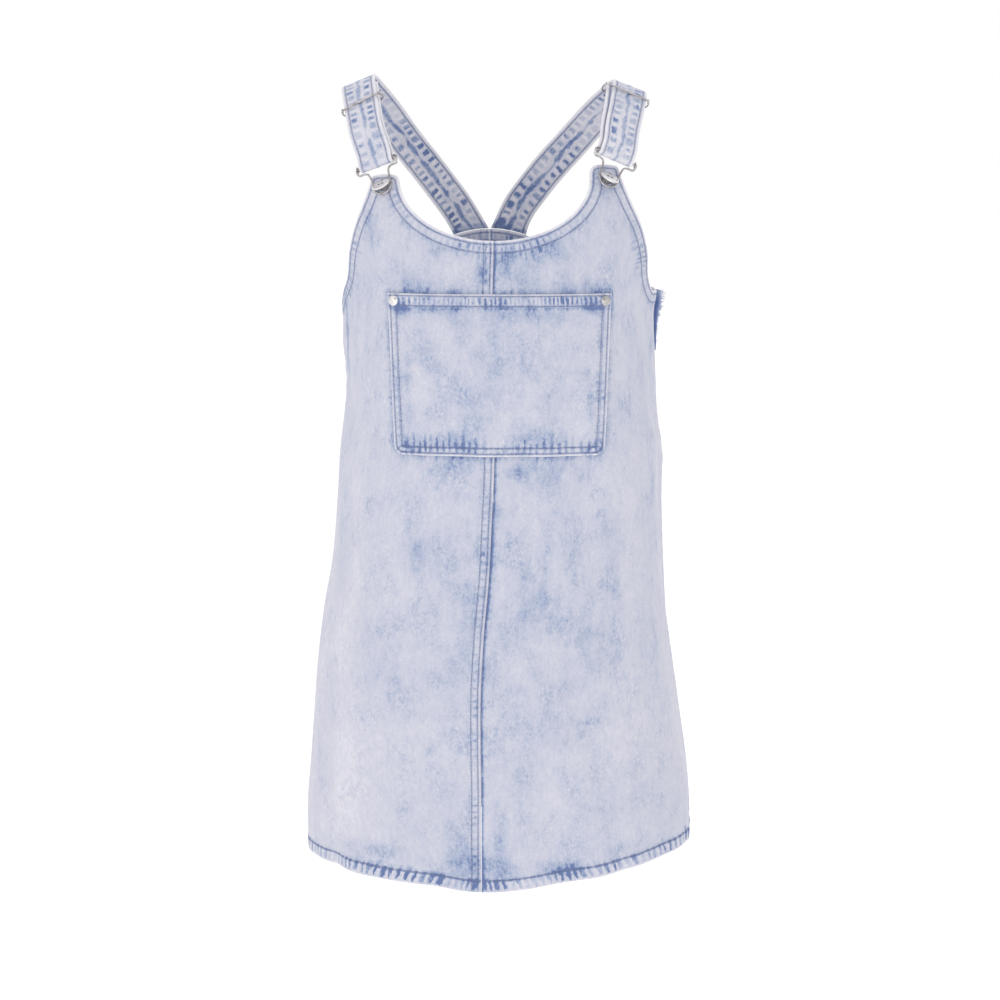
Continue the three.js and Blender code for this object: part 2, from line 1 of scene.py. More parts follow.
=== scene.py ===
"""The looks of a denim pinafore mini dress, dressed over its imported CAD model.

The cloth pieces are thin shells on the same body form as the solids, with seams, puckers and
creases in their meshes. Lengths are in millimetres until a mesh is made, and angles run round the
body in degrees: 0 at the front, 90 at the wearer's left, 180 at the back. The front faces -Y.
"""

import logging
import math
from collections.abc import Callable, Sequence
from dataclasses import dataclass, field, replace
from enum import Enum

import bpy
import numpy as np
from mathutils import Matrix, Vector
from mathutils.bvhtree import BVHTree


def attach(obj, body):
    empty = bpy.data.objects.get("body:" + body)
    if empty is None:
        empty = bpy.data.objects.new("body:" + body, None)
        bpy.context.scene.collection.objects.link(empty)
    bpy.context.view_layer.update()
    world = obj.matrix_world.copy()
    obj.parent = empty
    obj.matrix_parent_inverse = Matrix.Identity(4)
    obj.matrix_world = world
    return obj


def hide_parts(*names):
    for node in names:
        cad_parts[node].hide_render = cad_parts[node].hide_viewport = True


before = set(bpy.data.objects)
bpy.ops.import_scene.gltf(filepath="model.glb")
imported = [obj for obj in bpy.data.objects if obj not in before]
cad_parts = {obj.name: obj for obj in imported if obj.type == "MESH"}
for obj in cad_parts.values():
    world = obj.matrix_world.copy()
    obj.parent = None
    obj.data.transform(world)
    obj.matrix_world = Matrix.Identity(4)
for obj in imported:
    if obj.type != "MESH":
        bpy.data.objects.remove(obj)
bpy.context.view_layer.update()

LOG = logging.getLogger("pinafore")
METRES = 0.001
FAR = 500.0

# Cloth thicknesses and the clearance between pieces that are sewn together
WALL = 1.5
GAP_BETWEEN = 0.3
FELLED_RISE = 0.7
POCKET_BASE = WALL / 2 + FELLED_RISE + GAP_BETWEEN
POCKET_WALL = 1.4
GROOVE_DEPTH = 0.28
GROOVE_WIDTH = 0.9

# Angle of the side seams, and how long a degree is: on the whole, by the middle, and at the hem there
SIDE_SEAM = 90.0
MM_PER_DEGREE = 2.75
MM_PER_DEGREE_MIDDLE = 3.3
HEM_MM_PER_DEGREE = 3.8

# The smallest cut that may be declared: its width, and its area as a share of width times length
NARROWEST_CUT = 10.0
LEAST_AREA_SHARE = 0.31

# Distance between the points of a seam line, and between the ribs of the twill
LINE_STEP = 1.6
POINTS_AT_ONCE = 4000
TWILL_PITCH = 1.15

# Where each cloth lies in the wash's pattern, far enough apart that no two show the same clouds
BACK_PATTERN = 400.0
POCKET_PATTERN = 900.0
STRAP_PATTERN = 1300.0
FLAP_PATTERN = 1700.0


class Side(Enum):
    """The wearer's left or right; the value is the sign of x on that side."""

    LEFT = 1
    RIGHT = -1

    @property
    def word(self) -> str:
        """The side's name as it stands in the names of pieces."""
        return self.name.lower()


class Facing(Enum):
    """Which half of the body a panel covers."""

    FRONT = "front"
    BACK = "back"


def soft_step(value: np.ndarray, start: float, end: float) -> np.ndarray:
    """Rise smoothly from 0 to 1 between two values."""
    share = np.clip((np.asarray(value, float) - start) / (end - start), 0.0, 1.0)
    return share * share * (3.0 - 2.0 * share)


def bump_at(value: np.ndarray, middle: float, width: float) -> np.ndarray:
    """Give a soft bell, 1 at its middle and nearly 0 two widths away."""
    return np.exp(-(((np.asarray(value, float) - middle) / width) ** 2))


def unit(vectors: np.ndarray) -> np.ndarray:
    """Scale vectors, along the last axis, to length one."""
    return vectors / np.maximum(np.linalg.norm(vectors, axis=-1, keepdims=True), 1e-12)


def lerp(start: np.ndarray, end: np.ndarray, share: np.ndarray) -> np.ndarray:
    """Mix two values or arrays by a share."""
    return start + (end - start) * share


def run_along(points: np.ndarray) -> np.ndarray:
    """Give each point's distance from the first, along the line through them."""
    steps = np.linalg.norm(np.diff(points, axis=0), axis=1)
    return np.concatenate([[0.0], np.cumsum(steps)])


@dataclass(frozen=True)
class FormRow:
    """The body form at one height: half width, depth in front and behind, and place of its middle."""

    z: float
    half: float
    front: float
    back: float
    centre: float


@dataclass(frozen=True)
class Fold:
    """A soft ridge, or a trough where its depth is negative, along a straight line on the cloth."""

    from_angle: float
    from_z: float
    to_angle: float
    to_z: float
    width: float
    depth: float


FORM_ROWS = (
    FormRow(z=-60, half=158, front=78, back=84, centre=2),
    FormRow(z=-100, half=161, front=97, back=93, centre=2),
    FormRow(z=-160, half=161, front=114, back=100, centre=3),
    FormRow(z=-225, half=152, front=123, back=104, centre=1.5),
    FormRow(z=-270, half=153, front=127, back=101, centre=2),
    FormRow(z=-310, half=153, front=128, back=99, centre=4),
    FormRow(z=-370, half=159, front=127, back=99, centre=3),
    FormRow(z=-420, half=160.5, front=126, back=103, centre=1),
    FormRow(z=-475, half=164, front=127, back=109, centre=0),
    FormRow(z=-525, half=170.5, front=128, back=115, centre=-2),
    FormRow(z=-580, half=177.5, front=130, back=121, centre=-2),
    FormRow(z=-630, half=183, front=132, back=126, centre=0),
    FormRow(z=-680, half=189, front=134, back=129, centre=2),
    FormRow(z=-725, half=193.5, front=135, back=131, centre=2),
    FormRow(z=-760, half=194, front=135, back=131, centre=2),
    FormRow(z=-795, half=190.5, front=133.5, back=130, centre=1),
)

FOLDS = (
    Fold(-13, -600, -17, -800, width=16, depth=-3.4),
    Fold(24, -560, 30, -800, width=24, depth=2.2),
    Fold(-34, -380, -40, -800, width=26, depth=2.4),
    Fold(52, -330, 56, -760, width=22, depth=-2.0),
    Fold(-64, -420, -62, -800, width=20, depth=-2.2),
    Fold(60, -236, 84, -300, width=11, depth=-2.2),
    Fold(66, -300, 100, -336, width=12, depth=-2.6),
    Fold(-66, -250, -96, -305, width=12, depth=-2.4),
    Fold(128, -300, 136, -800, width=26, depth=-3.2),
    Fold(150, -430, 154, -800, width=22, depth=2.6),
    Fold(206, -360, 202, -800, width=24, depth=-2.8),
    Fold(232, -420, 228, -800, width=26, depth=2.8),
    Fold(168, -318, 200, -340, width=14, depth=-2.4),
)

# Finer creases than the solids hold: drag lines at the waist, under the arms and across the back
CREASES = (
    Fold(58, -300, 88, -312, width=6, depth=-1.1),
    Fold(64, -322, 96, -352, width=7, depth=-1.3),
    Fold(70, -348, 92, -384, width=5, depth=0.9),
    Fold(-62, -286, -92, -300, width=6, depth=-1.2),
    Fold(-58, -318, -88, -344, width=7, depth=0.9),
    Fold(-48, -392, -66, -470, width=9, depth=-0.9),
    Fold(40, -420, 50, -540, width=10, depth=-0.8),
    Fold(12, -470, 17, -600, width=9, depth=-0.7),
    Fold(-22, -430, -27, -560, width=11, depth=0.8),
    Fold(-6, -690, -9, -790, width=7, depth=1.0),
    Fold(-22, -735, -25, -800, width=8, depth=-1.4),
    Fold(37, -700, 42, -800, width=9, depth=1.2),
    Fold(70, -640, 72, -790, width=12, depth=-1.3),
    Fold(-50, -700, -52, -800, width=10, depth=-1.2),
    Fold(160, -240, 138, -300, width=8, depth=-1.2),
    Fold(200, -236, 226, -298, width=8, depth=-1.3),
    Fold(172, -300, 150, -326, width=7, depth=-1.1),
    Fold(186, -346, 214, -360, width=8, depth=-1.2),
    Fold(176, -372, 156, -388, width=7, depth=0.9),
    Fold(118, -290, 140, -316, width=8, depth=-1.1),
    Fold(242, -284, 222, -330, width=8, depth=1.0),
    Fold(172, -560, 168, -800, width=12, depth=1.3),
    Fold(214, -640, 216, -800, width=11, depth=1.2),
    Fold(190, -600, 193, -800, width=10, depth=-1.3),
    Fold(112, -560, 114, -800, width=12, depth=1.3),
    Fold(248, -600, 250, -800, width=10, depth=-1.2),
)


# Slow unevenness of the cloth: waves round the body, their length down it, and their shift
SWAYS = ((7, 90, 0.3), (11, -64, 1.9), (16, 47, 4.1), (5, -120, 2.6), (21, 39, 5.2))


@dataclass(frozen=True)
class BodyForm:
    """The form that the cloth hangs on, with the folds and the slow unevenness of the cloth."""

    rows: tuple[FormRow, ...] = FORM_ROWS
    folds: tuple[Fold, ...] = FOLDS + CREASES
    squareness: float = 0.035
    hem_z: float = -782.0
    sway: float = 0.55
    sway_from: float = -215.0

    def column(self, z: np.ndarray, name: str) -> np.ndarray:
        """Read one column of the form on a smooth curve through its rows.

        Args:
            z: Heights.
            name: The column's name.

        Returns:
            The column's value at each height.
        """
        heights = np.array([row.z for row in self.rows], float)
        values = np.array([getattr(row, name) for row in self.rows], float)
        z = np.clip(z, heights[-1], heights[0])
        last = len(heights) - 1
        i = np.clip(np.searchsorted(-heights, -z, side="right") - 1, 0, last - 1)
        before, after = np.maximum(np.arange(last + 1) - 1, 0), np.minimum(np.arange(last + 1) + 1, last)
        slopes = (values[after] - values[before]) / (heights[after] - heights[before])
        span = heights[i + 1] - heights[i]
        t = (z - heights[i]) / span
        start = values[i] * (1 + 2 * t) * (1 - t) ** 2 + slopes[i] * span * t * (1 - t) ** 2
        return start + values[i + 1] * t * t * (3 - 2 * t) + slopes[i + 1] * span * t * t * (t - 1)

    def point(self, angle: np.ndarray, z: np.ndarray) -> np.ndarray:
        """Give points of the form itself.

        Args:
            angle: Angles round the body.
            z: Heights.

        Returns:
            Points, with x, y and z along the last axis.
        """
        turn = np.radians(angle)
        depth = np.where(np.cos(turn) > 0, self.column(z, "front"), self.column(z, "back"))
        across = (np.sin(turn) + self.squareness * np.sin(3 * turn)) / (1 - self.squareness)
        along = (np.cos(turn) - self.squareness * np.cos(3 * turn)) / (1 - self.squareness)
        x = self.column(z, "centre") + self.column(z, "half") * across
        return np.stack([x, -depth * along, z + 0 * x], axis=-1)

    def normal(self, angle: np.ndarray, z: np.ndarray) -> np.ndarray:
        """Give the direction straight out of the form at each place."""
        around = self.point(angle + 0.5, z) - self.point(angle - 0.5, z)
        upward = self.point(angle, z + 1.0) - self.point(angle, z - 1.0)
        return unit(np.cross(around, upward))

    def lift(self, angle: np.ndarray, z: np.ndarray) -> np.ndarray:
        """Measure how far folds, creases and slow unevenness move the cloth off the form.

        Args:
            angle: Angles round the body.
            z: Heights.

        Returns:
            The distance outwards at each place.
        """
        rise = np.zeros(np.broadcast(angle, z).shape)
        for fold in self.folds:
            turn = (fold.to_angle - fold.from_angle) * MM_PER_DEGREE
            fall = fold.to_z - fold.from_z
            for wrap in (-360.0, 0.0, 360.0):
                across = (angle + wrap - fold.from_angle) * MM_PER_DEGREE
                down = z - fold.from_z
                share = np.clip((across * turn + down * fall) / (turn**2 + fall**2), 0, 1)
                off = np.hypot(across - turn * share, down - fall * share)
                runs_off = fold.to_z < self.hem_z
                strength = soft_step(share, 0, 0.5) if runs_off else np.sin(math.pi * share)
                rise += fold.depth * strength * np.exp(-((off / fold.width) ** 2))
        drift = sum(np.sin(np.radians(k * angle) + z / length + shift) for k, length, shift in SWAYS)
        return rise + self.sway * drift * soft_step(-z, -self.sway_from, 120 - self.sway_from)

    def on_cloth(self, angle: np.ndarray, z: np.ndarray, out: np.ndarray = 0.0) -> np.ndarray:
        """Give points of the cloth, a distance out from the middle of its wall."""
        distance = np.expand_dims(self.lift(angle, z) + out, -1)
        return self.point(angle, z) + self.normal(angle, z) * distance

    def angle_at(self, x: np.ndarray, z: np.ndarray, facing: Facing) -> np.ndarray:
        """Find the angle of the place on the front or the back that has a given x.

        Args:
            x: Distances across.
            z: Heights.
            facing: The half of the body to look on.

        Returns:
            The angles.
        """
        x, z = np.broadcast_arrays(np.asarray(x, float), np.asarray(z, float))
        front = facing is Facing.FRONT
        low = np.full(x.shape, -88.0 if front else 268.0)
        high = np.full(x.shape, 88.0 if front else 92.0)
        for _ in range(36):
            middle = (low + high) / 2
            short = self.point(middle, z)[..., 0] < x
            low, high = np.where(short, middle, low), np.where(short, high, middle)
        return (low + high) / 2


FORM = BodyForm()


class SmoothLine:
    """A smooth curve through points, open or closed, that can be walked in equal steps."""

    def __init__(self, points: np.ndarray, closed: bool = False, fine: int = 24) -> None:
        """Lay the curve through the points.

        Args:
            points: The points, in order.
            closed: Whether the curve comes back to its first point.
            fine: Steps in each stretch between two points.
        """
        points = np.asarray(points, float)
        if closed:
            padded = np.vstack([points[-1:], points, points[:2]])
        else:
            padded = np.vstack([2 * points[0] - points[1], points, 2 * points[-1] - points[-2]])
        stretches = []
        t = np.linspace(0, 1, fine, endpoint=False)[:, None]
        for k in range(1, len(padded) - 2):
            stretches.append(self._stretch(padded[k - 1 : k + 3], t))
        stretches.append(padded[-2:-1])
        self.samples = np.vstack(stretches)
        self.run = run_along(self.samples)

    @staticmethod
    def _stretch(four: np.ndarray, t: np.ndarray) -> np.ndarray:
        """Give one centripetal stretch, between the second and third of four points.

        Args:
            four: The points round the stretch.
            t: Shares along it, as a column.

        Returns:
            The points of the stretch.
        """
        a, b, c, d = four
        first, second, third = (max(np.linalg.norm(q - p) ** 0.5, 1e-4) for p, q in ((a, b), (b, c), (c, d)))
        leave = ((b - a) / first - (c - a) / (first + second) + (c - b) / second) * second
        arrive = ((c - b) / second - (d - b) / (second + third) + (d - c) / third) * second
        return (
            b * (1 + 2 * t) * (1 - t) ** 2
            + leave * t * (1 - t) ** 2
            + c * t * t * (3 - 2 * t)
            + arrive * t * t * (t - 1)
        )

    @property
    def length(self) -> float:
        """The curve's length."""
        return float(self.run[-1])

    def at(self, shares: np.ndarray) -> np.ndarray:
        """Give the points at shares of the curve's length."""
        wanted = np.asarray(shares) * self.length
        columns = [np.interp(wanted, self.run, self.samples[:, k]) for k in range(self.samples.shape[1])]
        return np.stack(columns, axis=-1)

    def along(self, shares: np.ndarray) -> np.ndarray:
        """Give the curve's directions at shares of its length."""
        shares = np.asarray(shares)
        return unit(self.at(np.minimum(shares + 0.002, 1)) - self.at(np.maximum(shares - 0.002, 0)))

    def stepped(self, step: float) -> np.ndarray:
        """Give points along the curve, a step apart."""
        return self.at(np.linspace(0, 1, max(2, round(self.length / step) + 1)))


@dataclass(frozen=True)
class SeamStyle:
    """How a seam is sewn, and what sewing and washing do to the cloth along it.

    Distances are measured into the cloth from the seam's edge. The ticks are the short blue marks of the
    puckers inside the folded band, the streaks are those that run on past it, the halo is the soft blue line
    that follows the band, and even says how alike the ticks are. The edge wear pales the cloth along its
    edge; where it is negative it darkens the edge instead, as painted shadow beside a fold.
    """

    attribute: str
    rows: tuple[float, ...] = ()
    band: float = 0.0
    rise: float = 0.0
    pitch: float = 8.5
    depth: float = 0.25
    reach: float = 8.0
    slant: float = 0.0
    breadth: float = 0.24
    wedge: float = 0.0
    ticks: float = 0.4
    tick_from: float = 1.5
    tick_to: float = 12.0
    streaks: float = 0.3
    halo: float = 0.0
    halo_reach: float = 5.0
    edge_wear_and_shadow: float = 0.25
    row_blue: float = 0.3
    even: float = 0.0
    seed: int = 1


TOP_EDGE = SeamStyle(
    "top_edge", rows=(3.6, 11.6), band=12.6, rise=0.5, pitch=5.6, depth=0.3, reach=9, ticks=0.56,
    tick_from=4.4, tick_to=11.0, streaks=0.4, halo=0.1, edge_wear_and_shadow=0.28, row_blue=0.36, seed=11,
)
HEM_EDGE = SeamStyle(
    "hem_edge", rows=(12.0,), band=12.6, rise=0.6, pitch=7.4, depth=0.6, reach=6, slant=0.035,
    breadth=0.34, wedge=0.6, ticks=0.7, tick_from=2.0, tick_to=12.8, streaks=0.2, halo=0.12,
    halo_reach=4, edge_wear_and_shadow=0.16, row_blue=0.5, seed=23,
)
MIDDLE_SEAM = SeamStyle(
    "middle_seam", rows=(2.9, 9.2), band=10.6, rise=FELLED_RISE, pitch=7.4, depth=0.13, reach=4,
    ticks=0.28, tick_from=3.6, tick_to=8.8, streaks=0.08, halo=0.1, edge_wear_and_shadow=0.12, row_blue=0.26,
    seed=37,
)
SIDE_EDGE = SeamStyle(
    "side_seam", pitch=13, depth=0.3, reach=9, ticks=0, streaks=0.12, halo=0.16, halo_reach=9,
    edge_wear_and_shadow=0.06, seed=41,
)
POCKET_SURROUND = SeamStyle(
    "pocket_edge", pitch=6.6, depth=0.1, reach=6, ticks=0, streaks=0.14, halo=0.24, halo_reach=7,
    edge_wear_and_shadow=0, seed=53,
)
POCKET_MOUTH = SeamStyle(
    "mouth_edge", rows=(1.9, 11.4), band=12.6, rise=0.7, pitch=4.3, depth=0.17, reach=4,
    breadth=0.3, ticks=0.5, tick_from=3.0, tick_to=10.6, streaks=0.16, halo=0.34, halo_reach=4,
    edge_wear_and_shadow=0.3, row_blue=0.36, even=0.7, seed=61,
)
POCKET_SIDE = SeamStyle(
    "pocket_side", rows=(2.8, 8.2), band=9.2, rise=0.3, pitch=7.4, depth=0.16, reach=4, ticks=0.2,
    tick_from=3.4, tick_to=7.8, streaks=0.12, halo=0.16, edge_wear_and_shadow=0.18, row_blue=0.34, seed=67,
)
POCKET_FOOT = SeamStyle(
    "pocket_foot", rows=(2.8, 8.2), band=8.8, rise=0.3, pitch=6.4, depth=0.28, reach=12,
    breadth=0.25, ticks=0.44, tick_from=3.2, tick_to=8.8, streaks=0.42, edge_wear_and_shadow=0.2,
    row_blue=0.38, even=0.3, seed=71,
)
STRAP_EDGE_A = SeamStyle(
    "strap_edge_a", rows=(3.8,), band=3.8, rise=0.12, pitch=9.2, depth=0.2, reach=10, breadth=0.32,
    ticks=0.54, tick_from=4.9, tick_to=12.4, streaks=0, edge_wear_and_shadow=0.2, row_blue=0.32, even=0.3,
    seed=83,
)
STRAP_EDGE_B = replace(STRAP_EDGE_A, attribute="strap_edge_b", seed=89)


class SeamLine:
    """A line along the cloth, with the uneven row of puckers that sewing leaves beside it."""

    def __init__(self, style: SeamStyle, points: np.ndarray, shift: int = 0) -> None:
        """Lay the line and place its puckers.

        Args:
            style: How the seam is sewn.
            points: Points of the line, close together, in order.
            shift: Added to the style's seed, so that two seams of one style differ.
        """
        self.style = style
        self.points = np.asarray(points, float)
        self.run = run_along(self.points)
        draw = np.random.default_rng(style.seed + shift)
        count = int(self.run[-1] / style.pitch) + 8
        pitches = style.pitch * draw.uniform(0.68, 1.34, count)
        self.crests = np.cumsum(pitches) - 2 * style.pitch
        groups = np.sin(np.arange(count) * draw.uniform(0.24, 0.4) + draw.uniform(0, 6))
        self.strengths = np.clip(0.55 + 0.3 * groups + draw.uniform(-0.3, 0.3, count), 0.05, 1)

    def calm(self, factors: np.ndarray) -> None:
        """Multiply the strength of the puckers by a factor for each point of the line."""
        self.strengths = self.strengths * np.interp(self.crests, self.run, factors)

    def measure(self, places: np.ndarray) -> np.ndarray:
        """Find each place's pucker phase, its distance from the line and the pucker's strength.

        Args:
            places: Points near the cloth, x, y and z along the last axis.

        Returns:
            Phase, distance and strength along the last axis.
        """
        flat = places.reshape(-1, 3)
        run, off = np.empty(len(flat)), np.empty(len(flat))
        tangents = unit(np.gradient(self.points, axis=0))
        for start in range(0, len(flat), POINTS_AT_ONCE):
            block = flat[start : start + POINTS_AT_ONCE]
            apart = ((block[:, None, :] - self.points[None, :, :]) ** 2).sum(axis=2)
            nearest = apart.argmin(axis=1)
            ahead = ((block - self.points[nearest]) * tangents[nearest]).sum(axis=1)
            step = np.clip(ahead, -2.0, 2.0)
            run[start : start + POINTS_AT_ONCE] = self.run[nearest] + step
            off[start : start + POINTS_AT_ONCE] = np.sqrt(
                np.maximum(apart[np.arange(len(block)), nearest] - step**2, 0)
            )
        return self.placed(run, off).reshape(*places.shape[:-1], 3)

    def placed(self, run: np.ndarray, off: np.ndarray) -> np.ndarray:
        """Give the puckers' phase and strength for known distances along the line and off it.

        Args:
            run: Distances along the line.
            off: Distances from it.

        Returns:
            Phase, distance and strength along the last axis.
        """
        phase = np.interp(run, self.crests, np.arange(len(self.crests)))
        phase = phase + self.style.slant * np.minimum(off, 30)
        strength = np.interp(run, self.crests, self.strengths)
        return np.stack([phase, off, strength], axis=-1)

    def relief(self, measured: np.ndarray) -> np.ndarray:
        """Work out the puckers' height, which lifts both faces of the cloth.

        Args:
            measured: What measure() found.

        Returns:
            The height at each place.
        """
        style = self.style
        phase, off, strength = np.moveaxis(measured, -1, 0)
        fade = 1 - soft_step(off, style.band, style.band + style.reach * (0.6 + 0.8 * strength))
        edge = 0.45 + 0.55 * soft_step(off, 0, 3)
        return style.depth * np.cos(2 * math.pi * phase) * strength * fade * edge

    def thickening(self, measured: np.ndarray) -> np.ndarray:
        """Work out how much the folded band stands up, with a groove under each row of stitches.

        Args:
            measured: What measure() found.

        Returns:
            The height at each place, for the outer face alone.
        """
        style = self.style
        off = measured[..., 1]
        height = style.rise * (1 - soft_step(off, style.band - 0.6, style.band + 1.0))
        for row in style.rows:
            height = height - GROOVE_DEPTH * bump_at(off, row, GROOVE_WIDTH)
        return height


def seam_along(style: SeamStyle, edge: np.ndarray, fine: int, shift: int = 0) -> SeamLine:
    """Lay a seam smoothly along the edge of a grid of points."""
    return SeamLine(style, SmoothLine(edge, fine=fine).stepped(LINE_STEP), shift)


@dataclass(frozen=True)
class Smudge:
    """A soft patch where the wash left more indigo, or less where its strength is negative."""

    angle: float
    z: float
    width: float
    height: float
    strength: float


def smudge_field(smudges: Sequence[Smudge], angle: np.ndarray, z: np.ndarray) -> np.ndarray:
    """Add up soft patches over the cloth.

    Args:
        smudges: The patches.
        angle: Angles round the body.
        z: Heights.

    Returns:
        The indigo that they add at each place.
    """
    total = np.zeros(np.broadcast(angle, z).shape)
    for patch in smudges:
        across = ((angle - patch.angle + 180) % 360 - 180) * MM_PER_DEGREE_MIDDLE
        total += patch.strength * np.exp(-((across / patch.width) ** 2) - ((z - patch.z) / patch.height) ** 2)
    return total


def add_mesh(
    name: str,
    vertices: np.ndarray,
    faces: np.ndarray,
    attributes: dict[str, np.ndarray] | None = None,
) -> bpy.types.Object:
    """Make an object from points in millimetres, with smooth faces and point attributes.

    Args:
        name: The object's name.
        vertices: Points, one a row.
        faces: Indices of each face's corners, one face a row.
        attributes: Numbers, or triples of numbers, for each point.

    Returns:
        The new object, linked to the scene.
    """
    mesh = bpy.data.meshes.new(name)
    mesh.from_pydata((vertices * METRES).tolist(), [], faces.tolist())
    for key, values in (attributes or {}).items():
        triple = values.ndim == 2
        layer = mesh.attributes.new(key, "FLOAT_VECTOR" if triple else "FLOAT", "POINT")
        layer.data.foreach_set("vector" if triple else "value", values.astype(np.float32).ravel())
    mesh.polygons.foreach_set("use_smooth", np.ones(len(mesh.polygons), bool))
    mesh.update()
    piece = bpy.data.objects.new(name, mesh)
    bpy.context.scene.collection.objects.link(piece)
    return piece


def plate_faces(columns: int, rows: int) -> np.ndarray:
    """List the faces of a closed plate between two grids of points, the outer grid first.

    Args:
        columns: Points across each grid.
        rows: Points along each grid.

    Returns:
        Four corner indices a face.
    """
    index = np.arange(2 * columns * rows).reshape(2, columns, rows)
    outer, inner = index
    faces = [
        np.stack([outer[:-1, :-1], outer[:-1, 1:], outer[1:, 1:], outer[1:, :-1]], -1).reshape(-1, 4),
        np.stack([inner[:-1, :-1], inner[1:, :-1], inner[1:, 1:], inner[:-1, 1:]], -1).reshape(-1, 4),
        np.stack([outer[:-1, 0], outer[1:, 0], inner[1:, 0], inner[:-1, 0]], -1),
        np.stack([outer[1:, -1], outer[:-1, -1], inner[:-1, -1], inner[1:, -1]], -1),
        np.stack([outer[0, 1:], outer[0, :-1], inner[0, :-1], inner[0, 1:]], -1),
        np.stack([outer[-1, :-1], outer[-1, 1:], inner[-1, 1:], inner[-1, :-1]], -1),
    ]
    return np.vstack(faces)


def facing_out(vertices: np.ndarray, faces: np.ndarray) -> np.ndarray:
    """Turn a closed mesh's faces so that they point outwards.

    Args:
        vertices: Points, one a row.
        faces: Corner indices, one face a row.

    Returns:
        The faces, turned where the volume they enclose came out negative.
    """
    a, b, c, d = (vertices[faces[:, k]] for k in range(4))
    volume = (a * np.cross(b, c)).sum() + (a * np.cross(c, d)).sum()
    return faces if volume > 0 else faces[:, ::-1]


@dataclass
class ClothSheet:
    """A finished sheet: its object, its middle surface and what stitching needs to lie on it."""

    piece: bpy.types.Object
    middle: np.ndarray
    outer: np.ndarray
    inner: np.ndarray
    seams: dict[str, SeamLine] = field(default_factory=dict)

    @property
    def area(self) -> float:
        """The sheet's area in square metres, on its middle surface."""
        across = self.middle[1:, :-1] - self.middle[:-1, :-1]
        down = self.middle[:-1, 1:] - self.middle[:-1, :-1]
        return float(np.linalg.norm(np.cross(across, down), axis=-1).sum()) * METRES**2

    @property
    def flat_size(self) -> tuple[float, float]:
        """Width and length, in metres, of the cut; a narrow strip counts with its sewn-in margin."""
        widths = np.linalg.norm(np.diff(self.middle, axis=0), axis=-1).sum(axis=0)
        lengths = np.linalg.norm(np.diff(self.middle, axis=1), axis=-1).sum(axis=1)
        return max(float(widths.max()), NARROWEST_CUT) * METRES, float(lengths.max()) * METRES

    def surface(self, inside: bool = False) -> BVHTree:
        """Give one face of the sheet as a surface that points can be laid on.

        Args:
            inside: Whether to give the inner face.

        Returns:
            The surface, in millimetres.
        """
        grid = self.inner if inside else self.outer
        columns, rows = grid.shape[:2]
        index = np.arange(columns * rows).reshape(columns, rows)
        faces = np.stack([index[:-1, :-1], index[:-1, 1:], index[1:, 1:], index[1:, :-1]], -1)
        return BVHTree.FromPolygons(grid.reshape(-1, 3).tolist(), faces.reshape(-1, 4).tolist())

    def declare(self, held: str, rests_on: Sequence[str], with_pieces: Sequence[bpy.types.Object]) -> None:
        """Log the sheet's cut: its width and length, and its area.

        Args:
            held: How the sheet is held; not used.
            rests_on: The names of what carries it; not used.
            with_pieces: The separate pieces on it; not used.
        """
        width, length = self.flat_size
        share = max(LEAST_AREA_SHARE, min(self.area / (width * length), 1.0))
        share * width * length
        LOG.info("%s: cut %.3f x %.3f m, %.4f square metres", self.piece.name, width, length, self.area)


def make_sheet(
    name: str,
    outer: np.ndarray,
    inner: np.ndarray,
    attributes: dict[str, np.ndarray],
    seams: dict[str, SeamLine],
) -> ClothSheet:
    """Close two grids of points into a sheet with a thickness.

    Args:
        name: The object's name.
        outer: Grid of the face that shows.
        inner: Grid of the other face, of the same shape.
        attributes: Numbers or triples over the grid; both faces get them.
        seams: The seam lines on the sheet, by attribute name.

    Returns:
        The sheet.
    """
    columns, rows = outer.shape[:2]
    vertices = np.vstack([outer.reshape(-1, 3), inner.reshape(-1, 3)])
    faces = facing_out(vertices, plate_faces(columns, rows))
    layers = {}
    for key, values in attributes.items():
        flat = values.reshape(columns * rows, -1)
        flat = flat[:, 0] if flat.shape[1] == 1 else flat
        layers[key] = np.concatenate([flat, flat])
    layers["inside"] = np.repeat([0.0, 1.0], columns * rows)
    piece = add_mesh(name, vertices, faces, layers)
    return ClothSheet(piece, (outer + inner) / 2, outer, inner, seams)


def rim_round(off: np.ndarray, radius: float = 1.1) -> np.ndarray:
    """Give the share of a sheet's thickness near its rim, so that the edge is round."""
    inside = np.clip(off / radius, 0, 1)
    return 0.3 + 0.7 * np.sqrt(np.clip(1 - (1 - inside) ** 2, 0, 1))


def marked_spaces(
    length: float, step: float, first: Sequence[float], last: Sequence[float]
) -> np.ndarray:
    """Share out a length in even steps between two lists of closer marks.

    Args:
        length: The length to share out.
        step: The even step.
        first: Distances of the marks from the start.
        last: Distances of the marks from the end.

    Returns:
        Distances from the start.
    """
    count = max(2, round((length - first[-1] - last[-1]) / step))
    middle = np.linspace(first[-1], length - last[-1], count + 1)[1:-1]
    return np.concatenate([first, middle, length - np.array(last)[::-1]])


# Distances from an edge at which the sheets have their closer rows of points
RIM_MARKS = (0.0, 0.35, 1.0, 2.2, 3.6)
BAND_MARKS = (0.0, 0.35, 1.0, 2.2, 3.6, 5.4, 7.2, 9.0, 10.4, 11.4, 12.2, 13.2, 14.8)
FELLED_MARKS = (0.0, 0.35, 1.0, 2.0, 2.9, 3.8, 5.2, 6.8, 8.2, 9.2, 10.0, 10.8, 11.6, 13.0)
STRAP_MARKS = (0.0, 0.35, 1.0, 2.0, 3.0, 3.8, 4.8)

